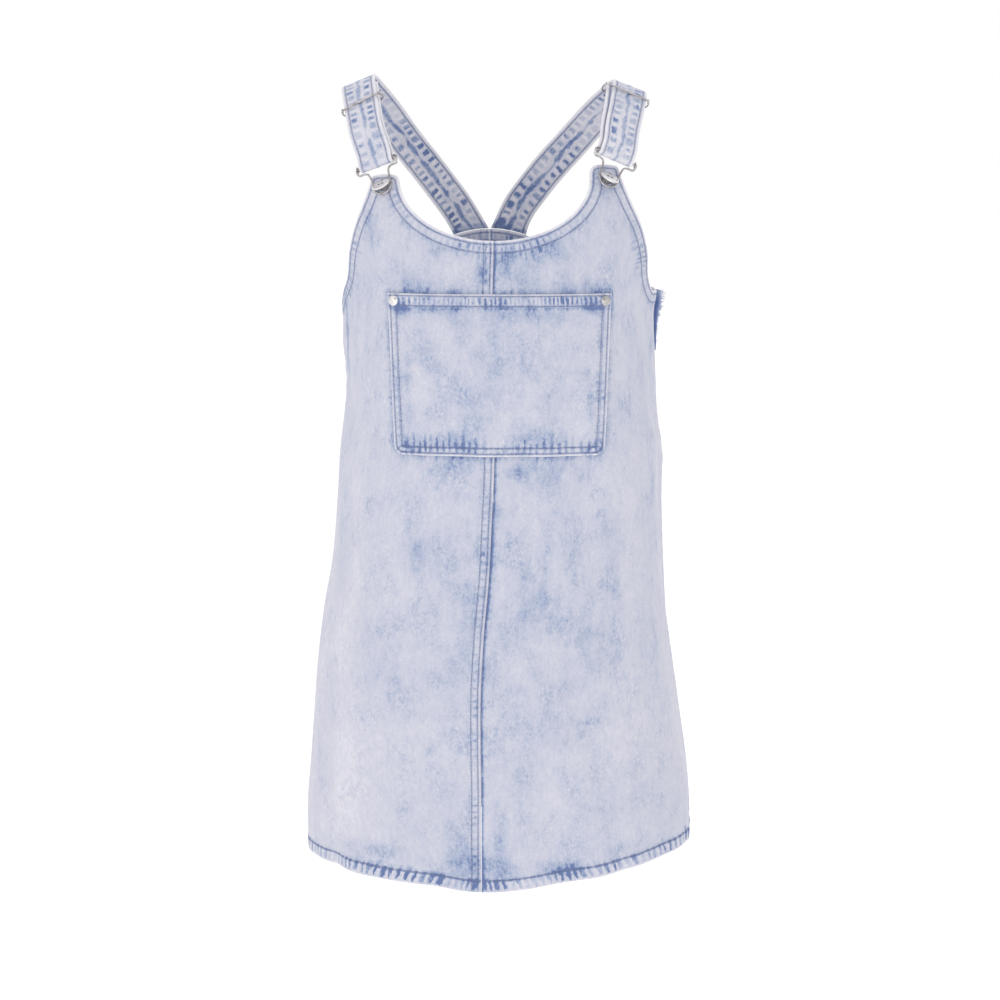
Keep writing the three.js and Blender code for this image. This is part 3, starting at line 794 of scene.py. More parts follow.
# The edge beside the felled band is darkened: painted shadow of the band's fold.
PLAIN_SEAM = SeamStyle(
    "plain_seam", pitch=8.4, depth=0.13, reach=6, ticks=0, streaks=0.12, halo=0.12, halo_reach=6,
    edge_wear_and_shadow=-0.44, seed=43,
)
PANEL_SEAMS = (TOP_EDGE, HEM_EDGE, MIDDLE_SEAM, PLAIN_SEAM, SIDE_EDGE, POCKET_SURROUND)

# Where the wash left more indigo on the front, by angle and height
FRONT_SMUDGES = (
    Smudge(angle=-4.6, z=-184, width=6, height=30, strength=0.32),
    Smudge(angle=3.4, z=-176, width=6, height=13, strength=0.40),
    Smudge(angle=9, z=-182, width=16, height=16, strength=0.16),
    Smudge(angle=17, z=-163, width=22, height=9, strength=0.26),
    Smudge(angle=-14, z=-166, width=26, height=9, strength=0.18),
    Smudge(angle=-22, z=-203, width=30, height=8, strength=0.26),
    Smudge(angle=-30, z=-195, width=22, height=14, strength=0.16),
    Smudge(angle=22, z=-201, width=34, height=8, strength=0.2),
    Smudge(angle=30, z=-201, width=12, height=8, strength=0.24),
    Smudge(angle=-44, z=-150, width=8, height=22, strength=0.18),
    Smudge(angle=-68, z=-246, width=7, height=42, strength=0.42),
    Smudge(angle=74, z=-262, width=8, height=26, strength=0.2),
    Smudge(angle=-18, z=-366, width=38, height=8, strength=0.22),
    Smudge(angle=5, z=-371, width=12, height=8, strength=0.3),
    Smudge(angle=19, z=-373, width=30, height=11, strength=0.18),
    Smudge(angle=-0.6, z=-412, width=6, height=14, strength=0.5),
    Smudge(angle=-23, z=-452, width=13, height=24, strength=0.2),
    Smudge(angle=-1, z=-470, width=5, height=60, strength=0.12),
    Smudge(angle=17, z=-505, width=34, height=26, strength=0.12),
    Smudge(angle=31, z=-540, width=30, height=22, strength=0.13),
    Smudge(angle=-30, z=-575, width=26, height=26, strength=0.1),
    Smudge(angle=40, z=-440, width=16, height=40, strength=0.1),
    Smudge(angle=66, z=-398, width=12, height=36, strength=0.12),
    Smudge(angle=-9, z=-752, width=17, height=22, strength=0.34),
    Smudge(angle=1.5, z=-745, width=12, height=26, strength=0.3),
    Smudge(angle=14, z=-758, width=30, height=8, strength=0.3),
    Smudge(angle=-37, z=-744, width=38, height=7, strength=0.22),
    Smudge(angle=34, z=-742, width=26, height=6, strength=0.22),
    Smudge(angle=2, z=-215, width=95, height=70, strength=0.05),
    Smudge(angle=6, z=-500, width=100, height=170, strength=0.08),
    Smudge(angle=-50, z=-560, width=24, height=190, strength=-0.12),
    Smudge(angle=46, z=-520, width=16, height=150, strength=-0.07),
    Smudge(angle=-76, z=-600, width=42, height=230, strength=-0.12),
    Smudge(angle=76, z=-640, width=42, height=220, strength=-0.08),
    Smudge(angle=-40, z=-690, width=50, height=60, strength=-0.08),
)

BACK_SMUDGES = (
    Smudge(angle=184, z=-174, width=30, height=9, strength=0.36),
    Smudge(angle=176, z=-196, width=10, height=24, strength=0.26),
    Smudge(angle=150, z=-206, width=30, height=10, strength=0.2),
    Smudge(angle=212, z=-208, width=30, height=10, strength=0.22),
    Smudge(angle=181, z=-330, width=9, height=50, strength=0.2),
    Smudge(angle=158, z=-300, width=30, height=12, strength=0.16),
    Smudge(angle=204, z=-318, width=34, height=12, strength=0.16),
    Smudge(angle=150, z=-470, width=34, height=40, strength=0.13),
    Smudge(angle=208, z=-520, width=34, height=46, strength=0.14),
    Smudge(angle=183, z=-560, width=7, height=50, strength=0.2),
    Smudge(angle=166, z=-640, width=30, height=34, strength=0.1),
    Smudge(angle=182, z=-748, width=22, height=22, strength=0.34),
    Smudge(angle=150, z=-752, width=36, height=8, strength=0.24),
    Smudge(angle=222, z=-750, width=34, height=8, strength=0.26),
    Smudge(angle=128, z=-560, width=26, height=160, strength=-0.1),
    Smudge(angle=232, z=-600, width=30, height=150, strength=-0.1),
)


# Where the puckers of the top edges grow weaker: heights towards the tips, and for the armholes the
# distances out from the middle and the heights
TIP_CALM = (-170.0, -140.0)
ARMHOLE_OUT = (105.0, 120.0)
ARMHOLE_UP = (-206.0, -194.0)


@dataclass(frozen=True)
class Hem:
    """The hem's edge: lowest near the centre seams, rounded up towards the sides."""

    z: float = -782.0
    tilt: float = 7.0
    side_lift: float = 11.5
    round_lift: float = 12.0
    softness: float = 0.02

    def height(self, angle: np.ndarray) -> np.ndarray:
        """Give the height of the hem's edge at each angle."""
        side = np.sin(np.radians(angle))
        between = np.sqrt(np.sin(np.radians(2 * angle)) ** 2 + self.softness) - self.softness**0.5
        return self.z + self.tilt * side + self.side_lift * side**2 + self.round_lift * between


@dataclass(frozen=True)
class PocketShape:
    """The pocket's outline on the front, in x and z."""

    middle: float = 5.0
    top_half: float = 103.5
    bottom_half: float = 97.5
    top_z: float = -206.0
    bottom_z: float = -357.0
    corner: float = 9.0

    @property
    def height(self) -> float:
        """The pocket's height."""
        return self.top_z - self.bottom_z

    def half(self, drop: np.ndarray) -> np.ndarray:
        """Give half the pocket's width at distances below its mouth, without its corners."""
        return lerp(self.top_half, self.bottom_half, drop / self.height)

    def inset(self, drop: np.ndarray, corner: float | None = None) -> np.ndarray:
        """Give how far the rounded lower corners draw the side in at distances below the mouth."""
        corner = self.corner if corner is None else corner
        past = np.clip(drop - (self.height - corner), 0, corner)
        return corner - np.sqrt(corner**2 - past**2)

    def covers(self, x: np.ndarray, z: np.ndarray) -> np.ndarray:
        """Say which places of the front lie under the pocket."""
        drop = self.top_z - z
        return (drop > 0) & (drop < self.height) & (np.abs(x - self.middle) < self.half(drop))

    def around(self, margin: float, step: float = 1.5, mouth: bool = False) -> np.ndarray:
        """Give a line a margin inside the outline, down one side, along the foot and up the other.

        Args:
            margin: Distance inside the outline.
            step: Distance between the points.
            mouth: Whether the line also runs along the mouth, back to its start.

        Returns:
            The line's x and z, one point a row.
        """
        corner = max(self.corner - margin, 1.6)
        start, foot = self.top_z - margin * mouth, self.bottom_z + margin
        side = [(self.half(drop) - margin, self.top_z - drop) for drop in
                np.arange(self.top_z - start, self.height - margin - corner, step)]
        reach = self.half(self.height) - margin
        turns = np.radians(np.arange(0, 91, 15))
        bend = [(reach - corner + corner * math.cos(t), foot + corner - corner * math.sin(t)) for t in turns]
        flat = [(x, foot) for x in np.arange(reach - corner - step, 0, -step)]
        half = np.array(side + bend + flat)
        other = half[::-1] * (-1, 1)
        line = np.vstack([half, other])
        if mouth:
            across = np.arange(-self.top_half + margin, self.top_half - margin, step)
            line = np.vstack([line, np.stack([across, 0 * across + start], -1)])
        return line + (self.middle, 0)


HEM = Hem()
POCKET_SHAPE = PocketShape()


def lay_on_front(path: np.ndarray, out: float) -> np.ndarray:
    """Lay a line given in x and z on the front of the form, a distance out from its wall."""
    angle = FORM.angle_at(path[:, 0], path[:, 1], Facing.FRONT)
    return FORM.on_cloth(angle, path[:, 1], out)


@dataclass
class HalfPanel:
    """A half front or half back, from its centre seam to its side seam and from top edge to hem."""

    side: Side
    facing: Facing
    step: float = 2.5
    scoop_half: float = 89.0
    scoop_z: float = -100.0
    scoop_depth: float = 57.0
    tip_outer: float = 117.0
    tip_corner: float = 6.0
    back_middle: float = -10.0
    back_half: float = 41.0
    back_z: float = -155.0
    back_fall: float = 8.0
    drift: float = -3.4

    @property
    def node(self) -> str:
        """The CAD node that this panel stands for."""
        return f"{self.facing.value}_{self.side.word}"

    @property
    def felled(self) -> bool:
        """Whether the centre seam's folded band lies on this panel."""
        return self.side is Side.RIGHT

    @property
    def underarm(self) -> float:
        """The height of the side seam's top."""
        return -210.0 if self.side is Side.LEFT else -221.0

    def top_marks(self) -> np.ndarray:
        """Give the points that the panel's top edge runs through.

        Returns:
            Angles from the middle and heights, one point a row.
        """
        seam = SIDE_SEAM - GAP_BETWEEN / 2 / MM_PER_DEGREE
        if self.facing is Facing.BACK:
            return self._back_marks(seam)
        tip = -88.0 if self.side is Side.LEFT else -97.0
        corner = self.tip_corner
        across = self.scoop_half * np.sin(np.radians(np.arange(7, 85, 7)))
        x = np.concatenate([[GAP_BETWEEN / 2], across])
        z = self.scoop_z - self.scoop_depth * np.sqrt(1 - (x / self.scoop_half) ** 2)
        inner, outer = self.scoop_half, self.tip_outer
        tip_x = [inner, inner + 0.3 * corner, inner + corner, outer - corner, outer - 0.3 * corner, outer]
        tip_z = [tip - corner, tip - 0.3 * corner, tip, tip - 0.5, tip - 0.4 * corner, tip - 1.4 * corner]
        x, z = np.append(x, tip_x), np.append(z, tip_z)
        sign = self.side.value
        angles = sign * FORM.angle_at(sign * x, z, Facing.FRONT)
        armhole = [(47, -124), (52, -143), (57.5, -168), (62, -192), (70, -206)]
        ends = [(seam - 9, self.underarm + 1.5), (seam, self.underarm)]
        return np.vstack([np.stack([angles, z], -1), armhole, ends])

    def _back_marks(self, seam: float) -> np.ndarray:
        """Give the marks of a half back's top edge.

        Args:
            seam: Angle of the side seam from the middle.

        Returns:
            Angles from the middle and heights, one mark a row.
        """
        sign = self.side.value
        offset = np.array([GAP_BETWEEN / 2, 8, 16, 24, 32, self.back_half - 1, self.back_half])
        z = self.back_z - self.back_fall * (offset / self.back_half) ** 2
        z[-1] -= 2
        x = self.back_middle + sign * offset
        angles = sign * (180 - FORM.angle_at(x, z, Facing.BACK))
        shift = sign * self.back_middle / MM_PER_DEGREE
        armhole = [(17 + shift, -171), (27 + shift, -184), (43 + shift, -198), (62 + shift, -209)]
        ends = [(seam - 12, self.underarm + 1.5), (seam, self.underarm)]
        return np.vstack([np.stack([angles, z], -1), armhole, ends])

    def turned(self, from_middle: np.ndarray, share: np.ndarray, z: np.ndarray) -> np.ndarray:
        """Turn angles from the middle into angles round the body.

        Args:
            from_middle: Angles from the centre seam's plane.
            share: Each column's share of the way to the side seam.
            z: Heights.

        Returns:
            Angles round the body, with the centre-front seam's drift.
        """
        sign = self.side.value
        if self.facing is Facing.BACK:
            return 180 - sign * from_middle + 0 * z
        return sign * from_middle + self.drift * soft_step(-z, 380, 690) * (1 - share)

    def grid(self) -> tuple[np.ndarray, np.ndarray]:
        """Work out the panel's grid of places.

        Returns:
            Angles round the body and heights, columns first.
        """
        marks = self.top_marks() * (MM_PER_DEGREE, 1)
        edge = SmoothLine(marks)
        first = FELLED_MARKS
        along = marked_spaces(edge.length, self.step, first, RIM_MARKS)
        top = edge.at(along / edge.length)
        top_angle, top_z = top[:, 0] / MM_PER_DEGREE, top[:, 1]
        share = along / edge.length
        start = GAP_BETWEEN / 2 / MM_PER_DEGREE
        near = first[-1] / HEM_MM_PER_DEGREE
        rest = np.clip((along - first[-1]) / (edge.length - first[-1]), 0, 1)
        far = lerp(near, SIDE_SEAM - start, rest)
        hem_angle = np.where(along < first[-1], start + along / HEM_MM_PER_DEGREE, far)
        hem_z = HEM.height(self.turned(hem_angle, share, np.full_like(hem_angle, HEM.z)))
        height = top_z - hem_z
        rows = marked_spaces(1000.0, 1000.0 * self.step / height.max(), (0.0,), (0.0,)) / 1000
        body = lerp(BAND_MARKS[-1], (height - BAND_MARKS[-1])[:, None], rows[None, :])
        head = np.broadcast_to(BAND_MARKS[:-1], (len(top_z), len(BAND_MARKS) - 1))
        foot = height[:, None] - head[:, ::-1]
        drop = np.hstack([head, body, foot])
        down = drop / height[:, None]
        z = top_z[:, None] - drop
        from_middle = lerp(top_angle[:, None], hem_angle[:, None], down)
        return self.turned(from_middle, share[:, None], z), z

    def seam_lines(self, angle: np.ndarray, z: np.ndarray) -> dict[str, SeamLine]:
        """Lay the seams of the panel along its grid's edges.

        Args:
            angle: The grid's angles.
            z: The grid's heights.

        Returns:
            The seam lines, by attribute name.
        """
        shift = {Side.LEFT: 0, Side.RIGHT: 5}[self.side] + {Facing.FRONT: 0, Facing.BACK: 100}[self.facing]
        middle_style = MIDDLE_SEAM if self.felled else PLAIN_SEAM
        edges = {
            TOP_EDGE: (angle[:, 0], z[:, 0]),
            HEM_EDGE: (angle[:, -1], z[:, -1]),
            middle_style: (angle[0], z[0]),
            SIDE_EDGE: (angle[-1], z[-1]),
        }
        lines = {
            style.attribute: seam_along(style, FORM.on_cloth(*edge), 3, shift)
            for style, edge in edges.items()
        }
        if self.facing is Facing.FRONT:
            outline = lay_on_front(POCKET_SHAPE.around(0, mouth=True), 0)
            lines[POCKET_SURROUND.attribute] = SeamLine(POCKET_SURROUND, outline, shift)
        return lines

    def build(self) -> ClothSheet:
        """Make the panel's mesh.

        Returns:
            The panel as a sheet of cloth.
        """
        angle, z = self.grid()
        middle = FORM.on_cloth(angle, z)
        normal = FORM.normal(angle, z)
        lines = self.seam_lines(angle, z)
        attributes = {}
        waves, band, rim = np.zeros(z.shape), np.zeros(z.shape), np.full(z.shape, FAR)
        for style in PANEL_SEAMS:
            line = lines.get(style.attribute)
            if line is None:
                attributes[style.attribute] = np.broadcast_to([0.0, FAR, 0.0], (*z.shape, 3))
                continue
            if style is TOP_EDGE:
                out, up = np.abs(line.points[:, 0]), line.points[:, 2]
                line.calm(lerp(1.0, 0.25, soft_step(up, *TIP_CALM)))
                line.calm(1 - 0.45 * soft_step(out, *ARMHOLE_OUT) * soft_step(up, *ARMHOLE_UP))
            measured = line.measure(middle)
            attributes[style.attribute] = measured
            waves += line.relief(measured)
            band += line.thickening(measured)
            if style is not POCKET_SURROUND:
                rim = np.minimum(rim, measured[..., 1])
        if self.facing is Facing.FRONT:
            inside = POCKET_SHAPE.covers(middle[..., 0], z)
            waves = np.where(inside, np.minimum(waves, 0), waves)
        half = WALL / 2 * rim_round(rim)
        outer = middle + normal * (half + band * rim_round(rim) + waves)[..., None]
        inner = middle + normal * (waves - half)[..., None]
        smudges = FRONT_SMUDGES if self.facing is Facing.FRONT else BACK_SMUDGES
        attributes["wash"] = smudge_field(smudges, angle, z)
        steps = np.linalg.norm(np.diff(middle, axis=0), axis=-1)
        arc = np.vstack([np.zeros((1, z.shape[1])), np.cumsum(steps, axis=0)]) * self.side.value
        place = np.full(z.shape, BACK_PATTERN if self.facing is Facing.BACK else 0.0)
        attributes["cloth"] = np.stack([arc, z, place], -1)
        return make_sheet(f"denim_{self.node}", outer, inner, attributes, lines)


@dataclass
class BibPocket:
    """The patch pocket: its points are the front's own, moved out."""

    shape: PocketShape = POCKET_SHAPE
    wall: float = POCKET_WALL
    step: float = 2.0
    belly: float = 0.9

    def build(self) -> ClothSheet:
        """Make the pocket's mesh.

        Returns:
            The pocket as a sheet of cloth.
        """
        shape = self.shape
        width = 2 * shape.top_half
        across = marked_spaces(width, self.step, (0, 0.35, 1, 2, 2.8, 3.8, 5.4, 7, 8.2, 9.2, 10.4), RIM_MARKS)
        across = np.unique(np.concatenate([across[across < width / 2], width - across[across < width / 2]]))
        across = 2 * across / width - 1
        drop = marked_spaces(shape.height, self.step, BAND_MARKS, RIM_MARKS)
        half = shape.half(drop) - shape.inset(drop)
        x = shape.middle + across[:, None] * half[None, :]
        z = np.broadcast_to(shape.top_z - drop, x.shape)
        angle = FORM.angle_at(x, z, Facing.FRONT)
        middle = FORM.on_cloth(angle, z, POCKET_BASE + self.wall / 2)
        normal = FORM.normal(angle, z)
        lines, attributes = self._measures(middle)
        waves, band, rim = np.zeros(x.shape), np.zeros(x.shape), np.full(x.shape, FAR)
        for name, measured in attributes.items():
            waves += lines[name].relief(measured)
            band += lines[name].thickening(measured)
            rim = np.minimum(rim, measured[..., 1])
        stand = self.belly * np.cos(across[:, None] * math.pi / 2) ** 0.7 * np.sin(
            np.pi * np.clip(drop / shape.height + 0.12, 0, 1)
        ).clip(0)[None, :]
        lifted = np.maximum(waves, 0.0) * 0.6 + stand * soft_step(rim, 2, 18)
        full = self.wall * rim_round(rim)
        raised = full - self.wall / 2 + band * rim_round(rim) + lifted + 0.5 * waves
        outer = middle + normal * raised[..., None]
        inner = middle + normal * (lifted - self.wall / 2)[..., None]
        attributes["wash"] = smudge_field(POCKET_SMUDGES, angle, z)
        attributes["cloth"] = np.stack([x, z, np.full(x.shape, POCKET_PATTERN)], -1)
        return make_sheet("denim_bib_pocket", outer, inner, attributes, lines)

    def _measures(self, middle: np.ndarray) -> tuple[dict[str, SeamLine], dict[str, np.ndarray]]:
        """Lay the pocket's seams along its edges and measure its places from them.

        Args:
            middle: The pocket's middle surface.

        Returns:
            The seam lines and the measures, both by attribute name.
        """
        edges = {POCKET_MOUTH: middle[:, 0], POCKET_SIDE: middle[0], POCKET_FOOT: middle[:, -1]}
        lines = {style.attribute: seam_along(style, edge, 2) for style, edge in edges.items()}
        second = seam_along(POCKET_SIDE, middle[-1], 2, 5)
        measures = {name: line.measure(middle) for name, line in lines.items()}
        other = second.measure(middle)
        nearer = (other[..., 1] < measures[POCKET_SIDE.attribute][..., 1])[..., None]
        measures[POCKET_SIDE.attribute] = np.where(nearer, other, measures[POCKET_SIDE.attribute])
        return lines, measures


POCKET_SMUDGES = (
    Smudge(angle=0, z=-285, width=150, height=120, strength=0.1),
    Smudge(angle=-32, z=-220, width=13, height=7, strength=0.5),
    Smudge(angle=-24, z=-221, width=24, height=4, strength=0.34),
    Smudge(angle=-12, z=-224, width=26, height=8, strength=0.18),
    Smudge(angle=0.5, z=-228, width=20, height=13, strength=0.4),
    Smudge(angle=13, z=-224, width=26, height=8, strength=0.2),
    Smudge(angle=32, z=-219, width=14, height=6, strength=0.36),
    Smudge(angle=-22, z=-262, width=18, height=16, strength=0.1),
    Smudge(angle=-23, z=-345, width=22, height=9, strength=0.16),
    Smudge(angle=-12, z=-344, width=14, height=9, strength=0.18),
    Smudge(angle=11, z=-344, width=16, height=9, strength=0.2),
    Smudge(angle=21, z=-343, width=12, height=9, strength=0.18),
    Smudge(angle=-29, z=-300, width=4, height=40, strength=0.12),
    Smudge(angle=30, z=-310, width=4, height=36, strength=0.14),
    Smudge(angle=26, z=-300, width=12, height=50, strength=-0.06),
)


@dataclass
class StrapStations:
    """A strap's middle line in order, with its directions at each place."""

    middle: np.ndarray
    normal: np.ndarray
    across: np.ndarray
    along: np.ndarray
    over: int


@dataclass(frozen=True)
class BibButton:
    """Where a bib button sits, and the directions of the cloth and the buckle there."""

    side: Side
    reach: float = 20.5
    lift: float = 5.5

    @property
    def lean(self) -> float:
        """How far the buckle leans outwards, in degrees."""
        return 23.0 if self.side is Side.LEFT else 20.0

    @property
    def place(self) -> tuple[float, float]:
        """The button's x and z."""
        return (105.5, -100.5) if self.side is Side.LEFT else (-104.0, -107.0)

    def directions(self) -> tuple[np.ndarray, np.ndarray, np.ndarray, np.ndarray]:
        """Give the button's point on the cloth and three directions.

        Returns:
            The point, the cloth's outward normal, up along the buckle, and across it.
        """
        x, z = self.place
        angle = float(FORM.angle_at(x, z, Facing.FRONT))
        normal = FORM.normal(angle, np.float64(z))
        lean = math.radians(self.lean) * self.side.value
        upward = np.array([math.sin(lean), 0, math.cos(lean)])
        upward = unit(upward - normal * (upward @ normal))
        point = FORM.on_cloth(angle, np.float64(z), WALL / 2)
        return point, normal, upward, unit(np.cross(upward, normal))

    def bar(self) -> np.ndarray:
        """Give the middle of the buckle's bar."""
        point, normal, upward, _ = self.directions()
        return point + upward * self.reach + normal * self.lift


# Points of the straps' middle line, from the back's top edge over the shoulder
STRAP_ROUTE = {
    Side.LEFT: (
        (19, 96.5, -133), (48, 91, -96), (75, 79, -66), (100, 57, -38), (118, 28, -21),
        (127, 0, -14.5), (127.5, -26, -18), (124.5, -50, -33), (119.5, -70, -55),
    ),
    Side.RIGHT: (
        (-43, 96.5, -133), (-71, 91, -96), (-94, 79, -66), (-114, 57, -36), (-127, 28, -18),
        (-133, 0, -9.5), (-132, -26, -14), (-127.5, -51, -31), (-121.5, -71, -56),
    ),
}


@dataclass
class Strap:
    """A strap from the back's top edge over the shoulder, round the buckle's bar and back up."""

    side: Side
    width: float = 34.5
    thick: float = 2.4
    steps: int = 200
    fold_steps: int = 15
    return_from: float = 0.7
    return_gap: float = 0.8
    fold_slip: float = 0.35
    settle_from: float = 0.72
    run_in: float = 12.0
    wire: float = 2.2
    end_rows: int = 13
    eased_rows: int = 44
    easings: int = 60

    @property
    def node(self) -> str:
        """The CAD node that this strap stands for."""
        return f"strap_{self.side.word}"

    @property
    def slip(self) -> float:
        """How far the under layer lies off to the side at its end."""
        return 6.0 if self.side is Side.LEFT else 1.5

    def stations(self) -> StrapStations:
        """Walk the strap over the shoulder, round the bar and back up under itself.

        Returns:
            The stations in order; the first of them, up to the fold, lie on top.
        """
        button = BibButton(self.side)
        _, face, upward, _ = button.directions()
        bar = button.bar()
        radius = self.wire / 2 + GAP_BETWEEN + self.thick / 2
        end = bar + face * radius
        route = np.vstack([STRAP_ROUTE[self.side], end + upward * self.run_in, end])
        line = SmoothLine(route, fine=40)
        share = np.linspace(0, 1, self.steps + 1)
        middle, along = line.at(share), line.along(share)
        settled = soft_step(share, self.settle_from, 1)[:, None]
        away = np.stack([0.3 * middle[:, 0], middle[:, 1], np.maximum(0, middle[:, 2] + 110)], -1)
        normal = lerp(unit(away), face, settled)
        along = unit(lerp(along, -upward, settled))
        normal = unit(normal - along * (normal * along).sum(axis=1, keepdims=True))
        across = unit(np.cross(along, normal))
        inward = -self.side.value * np.sign(across[-1, 0]) * self.slip
        turn = (np.arange(1, self.fold_steps + 1) / (self.fold_steps + 1))[:, None]
        fold_normal = normal[-1] * np.cos(turn * math.pi) + along[-1] * np.sin(turn * math.pi)
        fold = bar + fold_normal * radius + across[-1] * inward * self.fold_slip * turn
        fold_across = np.repeat(across[-1:], self.fold_steps, axis=0)
        back = slice(None, round(self.steps * self.return_from) - 1, -1)
        share = np.linspace(0, 1, len(middle[back]))[:, None]
        depth = lerp(2 * radius, self.thick + self.return_gap, soft_step(share, 0, 0.6))
        under = middle[back] - normal[back] * depth
        under = under + across[back] * inward * lerp(self.fold_slip, 1, share)
        return StrapStations(
            middle=np.vstack([middle, fold, under]),
            normal=np.vstack([normal, fold_normal, -normal[back]]),
            across=np.vstack([across, fold_across, across[back]]),
            along=np.vstack([along, np.cross(fold_normal, fold_across), -along[back]]),
            over=len(middle),
        )

    def end_edge(self, share: np.ndarray) -> tuple[np.ndarray, np.ndarray]:
        """Give the strap's cut end, which follows the back's top edge.

        Args:
            share: Shares across the strap.

        Returns:
            Points of the strap's middle surface and the directions out of the back.
        """
        share = 1 - share if self.side is Side.LEFT else share
        panel = HalfPanel(self.side, Facing.BACK)
        offset = lerp(1.0, panel.back_half - 4, share)
        x = panel.back_middle + self.side.value * offset
        z = panel.back_z - panel.back_fall * (offset / panel.back_half) ** 2 + 2 * GAP_BETWEEN
        angle = FORM.angle_at(x, z, Facing.BACK)
        return FORM.on_cloth(angle, z), FORM.normal(angle, z)

    def build(self) -> ClothSheet:
        """Make the strap's mesh.

        Returns:
            The strap as a sheet of cloth.
        """
        stations = self.stations()
        across = marked_spaces(self.width, 1.9, STRAP_MARKS, STRAP_MARKS)
        share = across / self.width
        sideways = (share - 0.5)[:, None, None] * self.width
        middle = stations.middle[None] + stations.across[None] * sideways
        normal = np.broadcast_to(stations.normal[None], middle.shape)
        end, end_normal = self.end_edge(share)
        rise = np.linspace(0, 1, self.end_rows, endpoint=False)[None, :, None]
        middle = np.concatenate([lerp(end[:, None], middle[:, :1], rise), middle], axis=1)
        normal = np.concatenate([unit(lerp(end_normal[:, None], normal[:, :1], rise)), normal], axis=1)
        rows = self.eased_rows
        for _ in range(self.easings):
            soft = middle[:, 1 : rows + 1].copy()
            soft += 0.4 * ((middle[:, :rows] + middle[:, 2 : rows + 2]) / 2 - soft)
            middle[:, 1 : rows + 1] = soft
        run = np.broadcast_to(run_along(middle[len(share) // 2]), middle.shape[:2])
        off = np.broadcast_to(across[:, None], run.shape)
        return self._shaped(middle, normal, run, off)

    def _shaped(
        self, middle: np.ndarray, normal: np.ndarray, run: np.ndarray, off: np.ndarray
    ) -> ClothSheet:
        """Give the strap its thickness, its sewn edges and its puckers.

        Args:
            middle: The strap's middle surface.
            normal: Directions out of its face.
            run: Distance along the strap at each place.
            off: Distance from the strap's first edge.

        Returns:
            The strap as a sheet of cloth.
        """
        shift = 0 if self.side is Side.LEFT else 9
        first = SeamLine(STRAP_EDGE_A, middle[0], shift)
        second = SeamLine(STRAP_EDGE_B, middle[-1], shift)
        measures = {
            STRAP_EDGE_A.attribute: first.placed(run, off),
            STRAP_EDGE_B.attribute: second.placed(run, self.width - off),
        }
        lines = {STRAP_EDGE_A.attribute: first, STRAP_EDGE_B.attribute: second}
        waves = sum(line.relief(measures[name]) for name, line in lines.items())
        band = sum(line.thickening(measures[name]) for name, line in lines.items())
        centre = off - self.width / 2
        ridge = 0.26 * bump_at(centre, 0.9 * np.sin(run / 23), 2.4)
        rim = np.minimum(np.minimum(off, self.width - off), run)
        half = self.thick / 2 * rim_round(rim, 1.3)
        outer = middle + normal * (half + band + ridge + 0.6 * waves)[..., None]
        inner = middle - normal * (half + band + 0.6 * ridge - 0.5 * waves)[..., None]
        measures["strap_middle"] = np.stack([run, centre, np.full(run.shape, float(shift))], -1)
        # Slow changes of indigo along the strap, and a strong dark band at its cut end: painted shadow where
        # the strap meets the back's top edge.
        measures["wash"] = 0.05 * np.sin(run / 31 + shift) + 0.75 * bump_at(run, 3.2, 3.4)
        measures["cloth"] = np.stack([off, run, np.full(run.shape, STRAP_PATTERN + 90 * shift)], -1)
        return make_sheet(f"denim_{self.node}", outer, inner, measures, lines)


def offset_path(line: SeamLine, surface_middle: np.ndarray, distance: float) -> np.ndarray:
    """Draw a line beside a seam, a distance into the cloth.

    Args:
        line: The seam.
        surface_middle: The sheet's middle surface, which tells the way into the cloth.
        distance: How far to move.

    Returns:
        Points beside the seam; stretches that would cross themselves at a corner are left out.
    """
    flat = surface_middle.reshape(-1, 3)
    tangents = unit(np.gradient(line.points, axis=0))
    moved = np.full(line.points.shape, np.nan)
    for k, (point, tangent) in enumerate(zip(line.points, tangents)):
        away = flat - point
        reach = np.linalg.norm(away, axis=1)
        near = (reach > 5) & (reach < 16)
        if not near.any():
            continue
        inward = away[near].mean(axis=0)
        inward = unit(inward - tangent * (inward @ tangent))
        moved[k] = point + inward * distance
    moved = moved[~np.isnan(moved[:, 0])]
    return moved[line.measure(moved)[:, 1] > distance - 0.4]


def stitch_shape() -> tuple[np.ndarray, np.ndarray]:
    """Model one stitch by hand: a short round bar, pinched at both ends.

    Returns:
        Its points, a stitch lying along x with a length of 1, and its triangles.
    """
    bpy.ops.object.select_all(action="DESELECT")
    bpy.ops.mesh.primitive_cylinder_add(vertices=5, radius=0.5, depth=0.56, end_fill_type="NGON")
    bpy.ops.object.mode_set(mode="EDIT")
    for sign in (1, -1):
        bpy.ops.mesh.select_all(action="DESELECT")
        bpy.ops.object.mode_set(mode="OBJECT")
        mesh = bpy.context.object.data
        for face in mesh.polygons:
            face.select = face.normal.z * sign > 0.9
        bpy.ops.object.mode_set(mode="EDIT")
        bpy.ops.mesh.extrude_region_move(TRANSFORM_OT_translate={"value": (0, 0, 0.22 * sign)})
        bpy.ops.transform.resize(value=(0.42, 0.42, 1), center_override=(0, 0, 0.5 * sign))
    bpy.ops.mesh.select_all(action="SELECT")
    bpy.ops.mesh.quads_convert_to_tris()
    bpy.ops.object.mode_set(mode="OBJECT")
    stitch = bpy.context.object
    points = np.array([vertex.co[:] for vertex in stitch.data.vertices])[:, (2, 0, 1)]
    triangles = np.array([face.vertices[:] for face in stitch.data.polygons])
    bpy.data.objects.remove(stitch, do_unlink=True)
    return points, triangles


